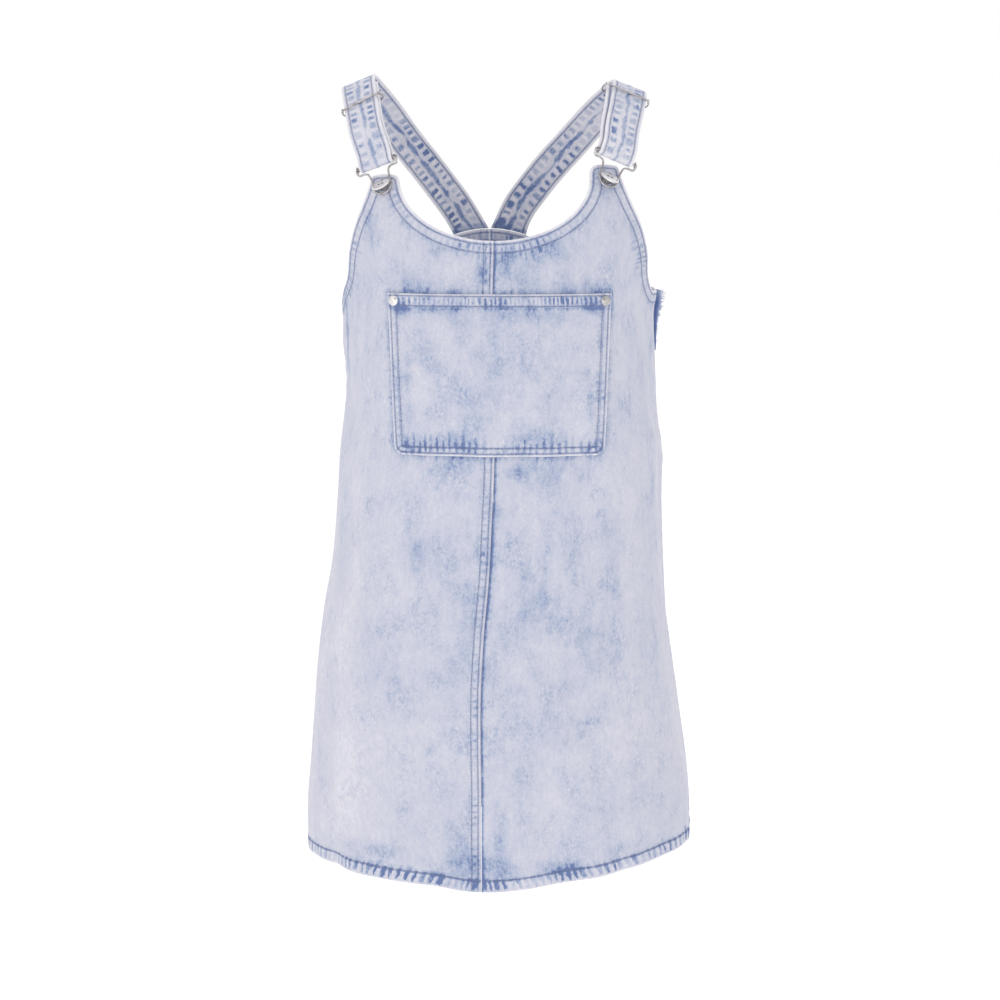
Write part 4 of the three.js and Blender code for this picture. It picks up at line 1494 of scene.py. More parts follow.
@dataclass
class Stitching:
    """Rows of stitches, gathered into one piece that lies on a sheet of cloth."""

    name: str
    pitch: float = 3.3
    length: float = 2.75
    width: float = 0.62
    height: float = 0.5
    proud: float = 0.1
    spots: list[np.ndarray] = field(default_factory=list)

    def row(
        self,
        path: np.ndarray,
        surface: BVHTree,
        keep: Callable[[np.ndarray], bool] | None = None,
        outward: float = 1.0,
        pitch: float | None = None,
    ) -> None:
        """Sew a row along a path.

        Args:
            path: Points close to the cloth, in order.
            surface: The face of the cloth that the stitches lie on.
            keep: Says whether a stitch at a place is wanted; all are, where it is left out.
            outward: 1 where the face looks out of the cloth, -1 for its other face.
            pitch: Distance from stitch to stitch, where it isn't the usual one.
        """
        pitch = pitch or self.pitch
        run = run_along(path)
        steps = np.diff(run)
        for k in range(int(run[-1] / pitch)):
            ends = []
            middle = (k + 0.5) * pitch
            broken = steps[max(0, np.searchsorted(run, middle) - 1)] > 2.5 * pitch
            for place in (middle - self.length / 2, middle + self.length / 2):
                point = np.array([np.interp(place, run, path[:, axis]) for axis in range(3)])
                found = surface.find_nearest(Vector(point), 6.0)
                if found[0] is not None:
                    ends.append((np.array(found[0]), np.array(found[1])))
            if len(ends) < 2 or broken:
                continue
            (start, first), (end, second) = ends
            centre = (start + end) / 2
            if keep is not None and not keep(centre):
                continue
            along = unit(end - start)
            normal = unit(first + second) * self._facing(first + second, centre) * outward
            side = unit(np.cross(normal, along))
            normal = np.cross(along, side)
            length = np.linalg.norm(end - start)
            self.spots.append(np.stack([centre + normal * self.proud, along * length, side, normal]))

    def lie(self, grid: np.ndarray, column: int, outward: float) -> None:
        """Sew a row along one column of a sheet's grid of points.

        Args:
            grid: The face of the sheet that the stitches lie on.
            column: The column that they follow.
            outward: 1 on the outer face, -1 on the inner one.
        """
        line = grid[column]
        across = grid[column + 1] - grid[column - 1]
        normal = unit(np.cross(across, np.gradient(line, axis=0))) * outward
        run = run_along(line)
        at = (np.arange(int(run[-1] / self.pitch)) + 0.5) * self.pitch
        start, end, up = (
            np.stack([np.interp(where, run, values[:, axis]) for axis in range(3)], -1)
            for where, values in ((at - self.length / 2, line), (at + self.length / 2, line), (at, normal))
        )
        for first, last, normal_at in zip(start, end, unit(up)):
            along = unit(last - first)
            side = unit(np.cross(normal_at, along))
            lifted = (first + last) / 2 + normal_at * self.proud
            spot = (lifted, along * np.linalg.norm(last - first), side, np.cross(along, side))
            self.spots.append(np.stack(spot))

    @staticmethod
    def _facing(normal: np.ndarray, centre: np.ndarray) -> float:
        """Say whether a face's normal points away from the wearer (1) or towards them (-1)."""
        away = np.array([centre[0], centre[1], max(0.0, centre[2] + 110)])
        return 1.0 if normal @ away > 0 else -1.0

    def build(self, shape: tuple[np.ndarray, np.ndarray]) -> bpy.types.Object:
        """Make the mesh of all the stitches.

        Args:
            shape: One stitch's points and triangles.

        Returns:
            The new object.
        """
        points, triangles = shape
        spots = np.array(self.spots)
        local = points * (1, self.width, self.height)
        bodies = spots[:, None, 0] + np.einsum("pk,skc->spc", local, spots[:, 1:])
        faces = triangles[None] + (np.arange(len(spots)) * len(points))[:, None, None]
        LOG.info("%s: %d stitches", self.name, len(spots))
        return add_mesh(self.name, bodies.reshape(-1, 3), faces.reshape(-1, 3))


def pick(*pieces: bpy.types.Object) -> None:
    """Select some objects and nothing else.

    Args:
        pieces: The objects; the first of them becomes the active one.
    """
    bpy.ops.object.select_all(action="DESELECT")
    for piece in pieces:
        piece.select_set(True)
    bpy.context.view_layer.objects.active = pieces[0]


def thread_tubes(name: str, paths: Sequence[np.ndarray], radius: float, sides: int = 4) -> bpy.types.Object:
    """Make loose threads, one thin tube along each path.

    Args:
        name: The object's name.
        paths: Each thread's points.
        radius: The thread's radius at its root; it thins to its end.
        sides: Sides of each tube.

    Returns:
        The new object.
    """
    vertices, faces = [], []
    for path in paths:
        start = len(vertices)
        along = unit(np.gradient(path, axis=0))
        side = unit(np.cross(along, [0.31, 0.22, 0.92]))
        other = np.cross(along, side)
        for k, point in enumerate(path):
            size = radius * (1 - 0.6 * k / (len(path) - 1))
            for turn in np.arange(sides) * 2 * math.pi / sides:
                vertices.append(point + size * (math.cos(turn) * side[k] + math.sin(turn) * other[k]))
        for k in range(len(path) - 1):
            for n in range(sides):
                a, b = start + k * sides + n, start + k * sides + (n + 1) % sides
                faces.append((a, b, b + sides, a + sides))
        last = start + (len(path) - 1) * sides
        faces.append(tuple(start + n for n in reversed(range(sides))))
        faces.append(tuple(last + n for n in range(sides)))
    piece = add_mesh(name, np.array(vertices), np.array(faces))
    pick(piece)
    bpy.ops.object.mode_set(mode="EDIT")
    bpy.ops.mesh.select_all(action="SELECT")
    bpy.ops.mesh.normals_make_consistent(inside=False)
    bpy.ops.object.mode_set(mode="OBJECT")
    return piece


@dataclass
class SeamFlap:
    """The raw strip of seam allowance under the left arm, with its fraying."""

    angle: float = 94.0
    top: float = -209.5
    bottom: float = -270.0
    reach: float = 7.0
    thick: float = 1.2
    bend: float = 2.2
    seed: int = 5

    def edge_reach(self, down: np.ndarray) -> np.ndarray:
        """Give how far the strip stands out at shares of its height."""
        shares = (0, 0.12, 0.3, 0.55, 0.8, 1)
        reaches = (0.72, 1, 0.86, 0.5, 0.22, 0.06)
        return self.reach * np.interp(down, shares, reaches)

    def place(self, down: np.ndarray, share: np.ndarray, face: float) -> np.ndarray:
        """Give points of the strip.

        Args:
            down: Shares of the strip's height.
            share: Shares of the way from the seam to the raw edge.
            face: Distance from the middle of its thickness.

        Returns:
            Points, with x, y and z along the last axis.
        """
        z = lerp(self.top, self.bottom, down)
        angle = np.full(np.shape(z), self.angle)
        root = FORM.on_cloth(angle, z, WALL / 2 + GAP_BETWEEN)
        out = FORM.normal(angle, z)
        sideways = np.cross(out, [0.0, 0.0, 1.0])
        wave = 0.5 * np.sin(down * 31) * share
        bend = self.bend * np.sin(math.pi * share * 0.6) * self.edge_reach(down) / self.reach + wave
        reach = share * self.edge_reach(down) + 0.6 * np.minimum(share * 4, 1)
        return root + out * reach[..., None] + sideways * (bend + face)[..., None]

    def build(self) -> tuple[ClothSheet, bpy.types.Object, bpy.types.Object]:
        """Make the strip and its loose threads.

        Returns:
            The strip as a sheet of cloth, the pale threads and the blue threads.
        """
        draw = np.random.default_rng(self.seed)
        down = np.linspace(0, 1, 90)[None, :]
        ragged = 1 + 0.1 * np.interp(down, np.linspace(0, 1, 46), draw.uniform(-1, 1, 46))
        share = np.linspace(0, 1, 9)[:, None] * ragged
        down = np.broadcast_to(down, share.shape)
        outer = self.place(down, share, self.thick / 2)
        inner = self.place(down, share, -self.thick / 2)
        layers = {"cloth": np.stack([share * 9, down * 57, np.full(share.shape, FLAP_PATTERN)], -1)}
        sheet = make_sheet("denim_seam_flap", outer, inner, layers, {})
        pale = [self.thread(draw, draw.uniform(0, 0.5) ** 1.6, draw.uniform(2.5, 6)) for _ in range(34)]
        pale.append(self.thread(draw, 0.2, 13.0, droop=2.5))
        pale.append(self.thread(draw, 0.26, 9.0, droop=4.5))
        blue = [self.thread(draw, draw.uniform(0, 0.9), draw.uniform(1, 3)) for _ in range(46)]
        return sheet, thread_tubes("pale_fraying", pale, 0.2), thread_tubes("blue_fraying", blue, 0.2)

    def thread(self, draw: np.random.Generator, down: float, length: float, droop: float = 1.0) -> np.ndarray:
        """Draw one loose thread from the raw edge outwards.

        Args:
            draw: The source of its unevenness.
            down: Share of the strip's height where it starts.
            length: Its length.
            droop: How far its end hangs down.

        Returns:
            Its points.
        """
        down_at, edge = np.array([down]), np.array([0.96])
        start = self.place(down_at, edge, draw.uniform(-0.5, 0.5))[0]
        out = FORM.normal(np.array([self.angle]), np.array([lerp(self.top, self.bottom, down)]))[0]
        heading = unit(out + draw.uniform(-0.5, 0.5, 3) * (0.6, 1, 1) + (0, 0, 0.25))
        t = np.linspace(0, 1, 7)[:, None]
        swirl = np.concatenate([np.sin(5 * t), np.cos(4 * t) - 1, np.sin(3 * t)], axis=1)
        curl = draw.uniform(-0.09, 0.09, 3) * length
        return start + heading * length * t + curl * swirl - np.array([0, 0, droop]) * t**2


def bent_wire(
    name: str, paths: Sequence[np.ndarray], diameter: float, closed: bool = False
) -> bpy.types.Object:
    """Bend round wire along paths and make it a mesh.

    Args:
        name: The object's name.
        paths: The middle line of each wire, with points close together.
        diameter: The wire's diameter.
        closed: Whether each wire joins its own start.

    Returns:
        The new object.
    """
    bpy.ops.object.select_all(action="DESELECT")
    bpy.ops.curve.primitive_nurbs_path_add()
    wire = bpy.context.object
    wire.name = name
    curve = wire.data
    curve.splines.clear()
    curve.dimensions = "3D"
    curve.bevel_depth = diameter / 2 * METRES
    curve.bevel_resolution = 3
    curve.use_fill_caps = True
    for path in paths:
        spline = curve.splines.new("POLY")
        spline.points.add(len(path) - 1)
        spline.use_cyclic_u = closed
        for point, place in zip(spline.points, path * METRES):
            point.co = (*place, 1.0)
    bpy.ops.object.convert(target="MESH")
    bpy.ops.object.mode_set(mode="EDIT")
    bpy.ops.mesh.select_all(action="SELECT")
    bpy.ops.mesh.remove_doubles(threshold=1e-6)
    bpy.ops.mesh.normals_make_consistent(inside=False)
    bpy.ops.object.mode_set(mode="OBJECT")
    bpy.ops.object.shade_smooth_by_angle(angle=math.radians(50))
    return bpy.context.object


def turned_piece(
    name: str, profile: Sequence[tuple[float, float]], segments: int, bevel: float
) -> bpy.types.Object:
    """Turn a piece by hand: a disc is drawn up and widened or narrowed step by step.

    Args:
        name: The object's name.
        profile: Radius and height at each step, from the bottom.
        segments: Sides of the disc.
        bevel: Width of the rounding on its edges.

    Returns:
        The new object, standing on the origin along +Z.
    """
    bpy.ops.object.select_all(action="DESELECT")
    radius, height = profile[0]
    place = (0, 0, height * METRES)
    bpy.ops.mesh.primitive_circle_add(
        vertices=segments, radius=radius * METRES, fill_type="NGON", location=place
    )
    piece = bpy.context.object
    piece.name = name
    bpy.ops.object.transform_apply(location=True, rotation=True, scale=True)
    bpy.ops.object.mode_set(mode="EDIT")
    for (start, low), (end, high) in zip(profile, profile[1:]):
        bpy.ops.mesh.extrude_region_move(TRANSFORM_OT_translate={"value": (0, 0, (high - low) * METRES)})
        scale = end / start
        bpy.ops.transform.resize(value=(scale, scale, 1), center_override=(0, 0, high * METRES))
    bpy.ops.mesh.select_all(action="SELECT")
    bpy.ops.mesh.fill_holes(sides=0)
    bpy.ops.mesh.select_all(action="SELECT")
    bpy.ops.mesh.normals_make_consistent(inside=False)
    bpy.ops.object.mode_set(mode="OBJECT")
    if bevel:
        modifier = piece.modifiers.new("rounding", "BEVEL")
        modifier.width = bevel * METRES
        modifier.segments = 2
        modifier.limit_method = "ANGLE"
        modifier.angle_limit = math.radians(28)
        bpy.ops.object.modifier_apply(modifier=modifier.name)
    bpy.ops.object.shade_smooth_by_angle(angle=math.radians(40))
    return piece


def shaded(piece: bpy.types.Object, amount: float | np.ndarray) -> bpy.types.Object:
    """Write how far a piece's metal colour is darkened, face by face, for its material.

    Args:
        piece: The piece.
        amount: 0 for bright plate, 1 for the painted shade of a deep hollow; one number, or one a face.

    Returns:
        The same piece.
    """
    attribute = piece.data.attributes.new("shade", "FLOAT", "FACE")
    amounts = np.broadcast_to(np.asarray(amount, np.float32), len(piece.data.polygons))
    attribute.data.foreach_set("value", np.ascontiguousarray(amounts))
    return piece


def cut_out(piece: bpy.types.Object, cutter: bpy.types.Object) -> None:
    """Cut one closed piece out of another, and delete the cutter.

    Args:
        piece: The piece to cut.
        cutter: What is taken out of it.
    """
    pick(piece)
    modifier = piece.modifiers.new("cut", "BOOLEAN")
    modifier.operation = "DIFFERENCE"
    modifier.solver = "EXACT"
    modifier.object = cutter
    bpy.ops.object.modifier_apply(modifier=modifier.name)
    bpy.data.objects.remove(cutter, do_unlink=True)


def joined(name: str, pieces: Sequence[bpy.types.Object]) -> bpy.types.Object:
    """Join objects into one.

    Args:
        name: The name of the result.
        pieces: The objects.

    Returns:
        The joined object.
    """
    pick(*pieces)
    bpy.ops.object.join()
    pieces[0].name = name
    return pieces[0]


def set_down(piece: bpy.types.Object, point: np.ndarray, direction: np.ndarray) -> None:
    """Turn a piece's +Z along a direction and move it to a point, in its mesh.

    Args:
        piece: The piece, standing on the origin.
        point: Where it goes.
        direction: Which way its +Z points there.
    """
    turn = Vector(direction).to_track_quat("Z", "Y").to_matrix().to_4x4()
    piece.data.transform(Matrix.Translation(Vector(point) * METRES) @ turn)
    piece.data.update()


@dataclass
class Button:
    """A shank button on the tip of the bib: a grommet on the cloth, a neck and a wide dished head."""

    side: Side
    tilt: float = 47.0
    segments: int = 48
    base: tuple[tuple[float, float], ...] = (
        (5.2, 0.0), (5.5, 0.25), (5.2, 0.8), (3.8, 1.2), (2.6, 1.5), (2.4, 3.0),
    )
    head: tuple[tuple[float, float], ...] = (
        (2.4, 1.6), (2.5, 3.2), (7.8, 3.5), (9.1, 4.0), (9.4, 4.7), (9.2, 5.3), (8.6, 5.6), (7.9, 5.55),
        (4.0, 5.3), (0.3, 5.25),
    )
    stand: float = 6.4
    pit_spread: float = 1.9
    pit_width: float = 2.3
    pit_depth: float = 1.8

    def build(self) -> bpy.types.Object:
        """Make the button.

        Returns:
            The new object.
        """
        point, normal, upward, across = BibButton(self.side).directions()
        tilt = math.radians(self.tilt)
        axis = normal * math.cos(tilt) + upward * math.sin(tilt)
        foot = point + normal * self.stand - axis * self.head[-1][1]
        # The grommet and neck are darkened: painted shade for the dark gap under the head, above the buckle's
        # loop.
        base = shaded(turned_piece("base", self.base, self.segments, 0.12), 0.8)
        set_down(base, point + normal * 0.7, normal)
        head = turned_piece("head", self.head, self.segments, 0.18)
        set_down(head, foot, axis)
        pit = ((self.pit_width / 2, 0), (self.pit_width / 2, 4.0))
        floor = self.head[-1][1] - self.pit_depth
        for sign in (-1, 1):
            cutter = turned_piece("cutter", pit, 16, 0)
            set_down(cutter, foot + axis * floor + across * self.pit_spread * sign, axis)
            cut_out(head, cutter)
        # The faces at the floors of the pits are darkened: painted shade in the hollows.
        places = np.array([vertex.co for vertex in head.data.vertices]) / METRES - foot
        deep = (np.abs(places @ axis - floor) < 0.02) & (np.linalg.norm(places, axis=1) < 5.5)
        shaded(head, np.array([deep[list(face.vertices)].any() for face in head.data.polygons]))
        return joined(f"shank_button_{self.side.word}", [base, head])


@dataclass
class Rivet:
    """A domed rivet at a corner of the pocket's mouth."""

    side: Side
    offset: float = 97.5
    z: float = -213.0
    profile: tuple[tuple[float, float], ...] = (
        (4.6, 0.0), (4.9, 0.25), (4.7, 0.7), (4.1, 0.85), (3.7, 1.0), (3.2, 1.5), (2.4, 1.95),
        (1.3, 2.2), (0.4, 2.25),
    )

    @property
    def darkening(self) -> float:
        """How far the rivet's colour is darkened."""
        return 0.4 if self.side is Side.LEFT else 0.1

    def build(self) -> bpy.types.Object:
        """Make the rivet.

        Returns:
            The new object.
        """
        x = POCKET_SHAPE.middle + self.side.value * self.offset
        angle = FORM.angle_at(x, np.float64(self.z), Facing.FRONT)
        out = POCKET_BASE + POCKET_WALL + POCKET_MOUTH.rise
        piece = turned_piece(f"pocket_rivet_{self.side.word}", self.profile, 40, 0.1)
        normal = FORM.normal(angle, np.float64(self.z))
        set_down(piece, FORM.on_cloth(angle, np.float64(self.z), out), normal)
        return shaded(piece, self.darkening)


@dataclass
class Buckle:
    """A bent-wire buckle: a bar in the strap's fold and a loop that hooks round the button."""

    side: Side
    bar_wire: float = 2.2
    loop_wire: float = 2.0
    bar_half: float = 21.8
    loop: float = 9.0
    shoulder: float = 10.0
    turn: float = 2.8
    loop_lift: float = 2.1
    coil_gap: float = 0.05
    coil_in: float = 1.2
    coil_pitch: float = 0.8
    coil_from: int = -250
    coil_to: int = 61
    coil_step: int = 20

    def build(self) -> bpy.types.Object:
        """Make the buckle.

        Returns:
            The new object.
        """
        button = BibButton(self.side)
        _, normal, upward, across = button.directions()
        bar_middle = button.bar()
        settle = button.lift - self.bar_wire / 2 - self.loop_lift

        def put(sideways: float, drop: float, out: float = 0.0) -> np.ndarray:
            """Place a point given across the buckle, down it and out of the cloth."""
            down = settle * float(soft_step(drop, 2, button.reach - 6))
            return bar_middle + across * sideways - upward * drop + normal * (out - down)

        coil_radius = (self.bar_wire + self.loop_wire) / 2 + self.coil_gap
        half = []
        for turn in np.radians(np.arange(self.coil_from, self.coil_to, self.coil_step)):
            sideways = self.bar_half - self.coil_in + self.coil_pitch * turn / math.pi
            half.append((sideways, coil_radius * math.cos(turn), coil_radius * math.sin(turn)))
        half += [
            (self.bar_half - 1.9, 2 * self.turn, 0.6),
            (self.shoulder + 4.0, 2 * self.turn + 0.3, 0.0),
            (self.shoulder + 0.6, 2 * self.turn + 2.2, 0.0),
        ]
        for turn in np.radians((-12, 12, 36, 60)):
            drop = button.reach + self.loop * math.sin(turn)
            half.append((self.loop * math.cos(turn), drop, 0.0))
        path = [*half, (0.0, button.reach + self.loop, 0.0), *[(-a, d, o) for a, d, o in reversed(half)]]
        loop = SmoothLine(np.array([put(*place) for place in path]), fine=8).samples
        ends = np.array([put(s * self.bar_half, 0.0) for s in (-1, -0.5, 0, 0.5, 1)])
        bar = bent_wire("bar", [ends], self.bar_wire)
        ring = bent_wire("loop", [loop], self.loop_wire)
        return joined(f"wire_buckle_{self.side.word}", [ring, bar])


@dataclass
class Slider:
    """A wire slide round both layers of a strap, with curled ends and a bead on its front bar."""

    strap: Strap
    wire: float = 1.7
    margin: float = 2.6
    corner: float = 3.0
    tuck: float = 0.4
    swell: float = 0.6
    crown: float = 0.2
    lean: float = 0.3
    clear: float = 0.5
    sag: float = 0.7
    coil_in: float = 1.4
    coil_lean: float = 0.2
    coil_turn: int = 420
    coil_step: int = 24
    coil_reach: float = 0.95
    coil_pitch: float = 0.5
    coil_wire: float = 0.8

    @property
    def at(self) -> float:
        """Share of the strap where the slide sits."""
        return 0.76 if self.strap.side is Side.LEFT else 0.79

    @property
    def turn(self) -> float:
        """How far the slide is turned from straight across, in degrees."""
        return 0.0 if self.strap.side is Side.LEFT else 5.0

    def build(self) -> bpy.types.Object:
        """Make the slide.

        Returns:
            The new object.
        """
        strap = self.strap
        stations = strap.stations()
        k = round(strap.steps * self.at)
        middle, normal, across, along = (
            grid[k] for grid in (stations.middle, stations.normal, stations.across, stations.along)
        )
        turn = math.radians(self.turn)
        bar = across * math.cos(turn) + along * math.sin(turn)
        towards = -strap.side.value * np.sign(across[0]) * strap.slip
        front = strap.thick / 2 + 2 * GAP_BETWEEN + self.wire / 2
        back = -(1.5 * strap.thick + strap.return_gap + self.clear + self.wire / 2) - self.sag
        low = -strap.width / 2 - self.margin + min(towards, 0)
        high = strap.width / 2 + self.margin + max(towards, 0)
        depth = (front + back) / 2
        fore, aft = lerp(front, depth, self.lean), lerp(back, depth, self.lean)
        outline = [
            (low + self.corner, front), (0, front + self.crown), (high - self.corner, front),
            (high - self.tuck, fore), (high + self.swell, depth), (high - self.tuck, aft),
            (high - self.corner, back), (0, back), (low + self.corner, back),
            (low + self.tuck, aft), (low - self.swell, depth), (low + self.tuck, fore),
        ]
        ring = np.array([middle + bar * a + normal * n for a, n in outline])
        pieces = [bent_wire("ring", [SmoothLine(ring, closed=True, fine=8).samples[:-1]], self.wire, True)]
        coils = []
        for end, sign in ((low, -1), (high, 1)):
            centre = middle + bar * (end - self.coil_in * sign) + normal * lerp(front, depth, self.coil_lean)
            turns = np.radians(np.arange(0, self.coil_turn, self.coil_step))[:, None]
            reach = self.wire * self.coil_reach
            circle = along * np.cos(turns) * reach + normal * np.sin(turns) * reach
            coils.append(centre + circle + bar * sign * self.coil_pitch * turns / math.pi)
        pieces.append(bent_wire("coils", coils, self.wire * self.coil_wire))
        bead = turned_piece("bead", ((0.9, -1.7), (1.35, -1.1), (1.5, 0), (1.35, 1.1), (0.9, 1.7)), 24, 0.3)
        set_down(bead, middle + normal * (front + self.crown), bar)
        return joined(f"wire_slide_{strap.side.word}", [*pieces, bead])


def linear(red: float, green: float, blue: float) -> tuple[float, float, float, float]:
    """Turn a display colour into the shader's linear colour.

    Args:
        red: 0 to 255.
        green: 0 to 255.
        blue: 0 to 255.

    Returns:
        Red, green, blue and an opacity of 1.
    """
    parts = []
    for part in (red, green, blue):
        part /= 255
        parts.append(part / 12.92 if part <= 0.04045 else ((part + 0.055) / 1.055) ** 2.4)
    return (*parts, 1.0)


class Signal:
    """A number that varies over a surface, written in ordinary sums."""

    def __init__(self, finish: "FinishNodes", socket: bpy.types.NodeSocket) -> None:
        """Wrap the socket that gives a number in a material."""
        self.finish = finish
        self.socket = socket

    def maths(self, operation: str, *values: "Signal | float", clamp: bool = False) -> "Signal":
        """Add a Math node.

        Args:
            operation: The node's operation.
            values: Its inputs, in order.
            clamp: Whether its result is kept from 0 to 1.

        Returns:
            The result.
        """
        inputs = dict(enumerate(values))
        node = self.finish.node("ShaderNodeMath", {"operation": operation, "use_clamp": clamp}, inputs)
        return Signal(self.finish, node.outputs[0])

    def __add__(self, other: "Signal | float") -> "Signal":
        """Add."""
        return self.maths("ADD", self, other)

    __radd__ = __add__

    def __sub__(self, other: "Signal | float") -> "Signal":
        """Take away."""
        return self.maths("SUBTRACT", self, other)

    def __rsub__(self, other: "Signal | float") -> "Signal":
        """Take this away from a number."""
        return self.maths("SUBTRACT", other, self)

    def __mul__(self, other: "Signal | float") -> "Signal":
        """Multiply."""
        return self.maths("MULTIPLY", self, other)

    __rmul__ = __mul__

    def __abs__(self) -> "Signal":
        """Drop the sign."""
        return self.maths("ABSOLUTE", self)

    def floor(self) -> "Signal":
        """Give the whole number at or below it."""
        return self.maths("FLOOR", self)

    def sine(self) -> "Signal":
        """Give the sine."""
        return self.maths("SINE", self)

    def most(self, other: "Signal | float") -> "Signal":
        """Give the larger of two numbers."""
        return self.maths("MAXIMUM", self, other)

    def clamped(self) -> "Signal":
        """Keep the number from 0 to 1."""
        return self.maths("ADD", self, 0.0, clamp=True)

    def rise(self, start: "Signal | float", end: "Signal | float") -> "Signal":
        """Rise smoothly from 0 to 1 between two values.

        Args:
            start: Where the rise begins.
            end: Where it is complete.

        Returns:
            The share of the rise.
        """
        settings = {"interpolation_type": "SMOOTHSTEP"}
        inputs = {"Value": self, "From Min": start, "From Max": end}
        return Signal(self.finish, self.finish.node("ShaderNodeMapRange", settings, inputs).outputs["Result"])

    def near(self, middle: float, width: float) -> "Signal":
        """Give 1 at a value, falling smoothly to 0 a width away."""
        return 1 - abs(self - middle).rise(width * 0.25, width)


class NodeTree:
    """The nodes of a material or of the world."""

    def __init__(self, owner: bpy.types.Material | bpy.types.World) -> None:
        """Start with no nodes.

        Args:
            owner: What the nodes belong to.
        """
        owner.use_nodes = True
        self.tree = owner.node_tree
        self.tree.nodes.clear()

    def node(self, kind: str, settings: dict | None = None, inputs: dict | None = None) -> bpy.types.Node:
        """Add a node.

        Args:
            kind: Its type.
            settings: Its settings, set before its inputs; "stops" fills a ramp.
            inputs: Values, signals or sockets, by the input's name or number.

        Returns:
            The node.
        """
        node = self.tree.nodes.new(kind)
        for key, value in (settings or {}).items():
            if key == "stops":
                self._fill_ramp(node.color_ramp, value)
            else:
                setattr(node, key, value)
        for key, value in (inputs or {}).items():
            socket = node.inputs[key]
            source = value.socket if isinstance(value, Signal) else value
            if isinstance(source, bpy.types.NodeSocket):
                self.tree.links.new(source, socket)
            else:
                socket.default_value = source
        return node

    @staticmethod
    def _fill_ramp(ramp: bpy.types.ColorRamp, stops: Sequence[tuple[float, tuple]]) -> None:
        """Fill a colour ramp.

        Args:
            ramp: The ramp.
            stops: Positions and colours, in order.
        """
        while len(ramp.elements) < len(stops):
            ramp.elements.new(0.5)
        for element, (position, colour) in zip(ramp.elements, stops):
            element.position = position
            element.color = colour


class FinishNodes(NodeTree):
    """One material and its nodes."""

    def __init__(self, name: str) -> None:
        """Start an empty material of that name."""
        self.material = bpy.data.materials.new(name)
        super().__init__(self.material)

    def triple(self, name: str) -> tuple[Signal, Signal, Signal]:
        """Read a triple of numbers that the mesh carries."""
        split = self.node("ShaderNodeSeparateXYZ", inputs={0: self.vector(name)})
        return tuple(Signal(self, split.outputs[k]) for k in range(3))

    def vector(self, name: str) -> bpy.types.NodeSocket:
        """Read a triple of numbers that the mesh carries, as one vector."""
        return self.node("ShaderNodeAttribute", {"attribute_name": name}).outputs["Vector"]

    def number(self, name: str) -> Signal:
        """Read a number that the mesh carries."""
        return Signal(self, self.node("ShaderNodeAttribute", {"attribute_name": name}).outputs["Fac"])

    def lots(self, number: Signal, seed: float) -> tuple[Signal, Signal, Signal]:
        """Draw three random numbers for each whole number.

        Args:
            number: The whole numbers.
            seed: Makes two series differ.

        Returns:
            Three numbers from 0 to 1.
        """
        draw = self.node("ShaderNodeTexWhiteNoise", {"noise_dimensions": "1D"}, {"W": number + seed * 31.7})
        split = self.node("ShaderNodeSeparateColor", inputs={0: draw.outputs["Color"]})
        return tuple(Signal(self, split.outputs[k]) for k in range(3))

    def place(self) -> bpy.types.NodeSocket:
        """Give the place on the object, in metres."""
        return self.node("ShaderNodeTexCoord").outputs["Object"]

    def noise(
        self,
        vector: bpy.types.NodeSocket,
        size: tuple[float, float, float],
        detail: float = 2.0,
        roughness: float = 0.5,
        shift: float = 0.0,
    ) -> Signal:
        """Give uneven patches.

        Args:
            vector: The coordinates.
            size: The patches' size along each coordinate, in its unit.
            detail: How many finer layers they have.
            roughness: How strong the finer layers are.
            shift: Moves the pattern, so that two of one size differ.

        Returns:
            A number round 0.5.
        """
        settings = {"operation": "MULTIPLY_ADD"}
        inputs = {0: vector, 1: tuple(1 / s for s in size), 2: (shift, 1.7 * shift, 0.6 * shift)}
        scaled = self.node("ShaderNodeVectorMath", settings, inputs).outputs["Vector"]
        inputs = {"Vector": scaled, "Scale": 1.0, "Detail": detail, "Roughness": roughness}
        return Signal(self, self.node("ShaderNodeTexNoise", inputs=inputs).outputs["Fac"])

    def mixed(
        self, factor: Signal | float, first: object, second: object, blend: str = "MIX"
    ) -> bpy.types.NodeSocket:
        """Mix two colours, or the sockets of two, by the second one's share."""
        settings = {"data_type": "RGBA", "blend_type": blend}
        return self.node("ShaderNodeMix", settings, {0: factor, 6: first, 7: second}).outputs[2]

    def ramp(self, signal: Signal, stops: Sequence[tuple[float, tuple]]) -> bpy.types.NodeSocket:
        """Turn a number into a colour through a ramp."""
        return self.node("ShaderNodeValToRGB", {"stops": stops}, {0: signal}).outputs["Color"]

    def surface(self, constants: dict, varying: dict, height: Signal | None = None) -> bpy.types.Material:
        """Finish the material with its shader.

        Args:
            constants: The shader's sockets that are the same all over.
            varying: Those that change over the surface.
            height: Fine relief in millimetres, for the normal.

        Returns:
            The material.
        """
        inputs = {**constants, **varying}
        if height is not None:
            bump = self.node("ShaderNodeBump", inputs={"Strength": 1.0, "Distance": METRES, "Height": height})
            inputs["Normal"] = bump.outputs["Normal"]
        shader = self.node("ShaderNodeBsdfPrincipled", inputs=inputs)
        self.node("ShaderNodeOutputMaterial", inputs={"Surface": shader.outputs[0]})
        return self.material


INDIGO_STOPS = (
    (0.0, linear(223, 221, 227)),
    (0.26, linear(198, 198, 210)),
    (0.46, linear(178, 183, 201)),
    (0.66, linear(154, 165, 191)),
    (0.84, linear(129, 143, 178)),
    (1.0, linear(101, 118, 161)),
)


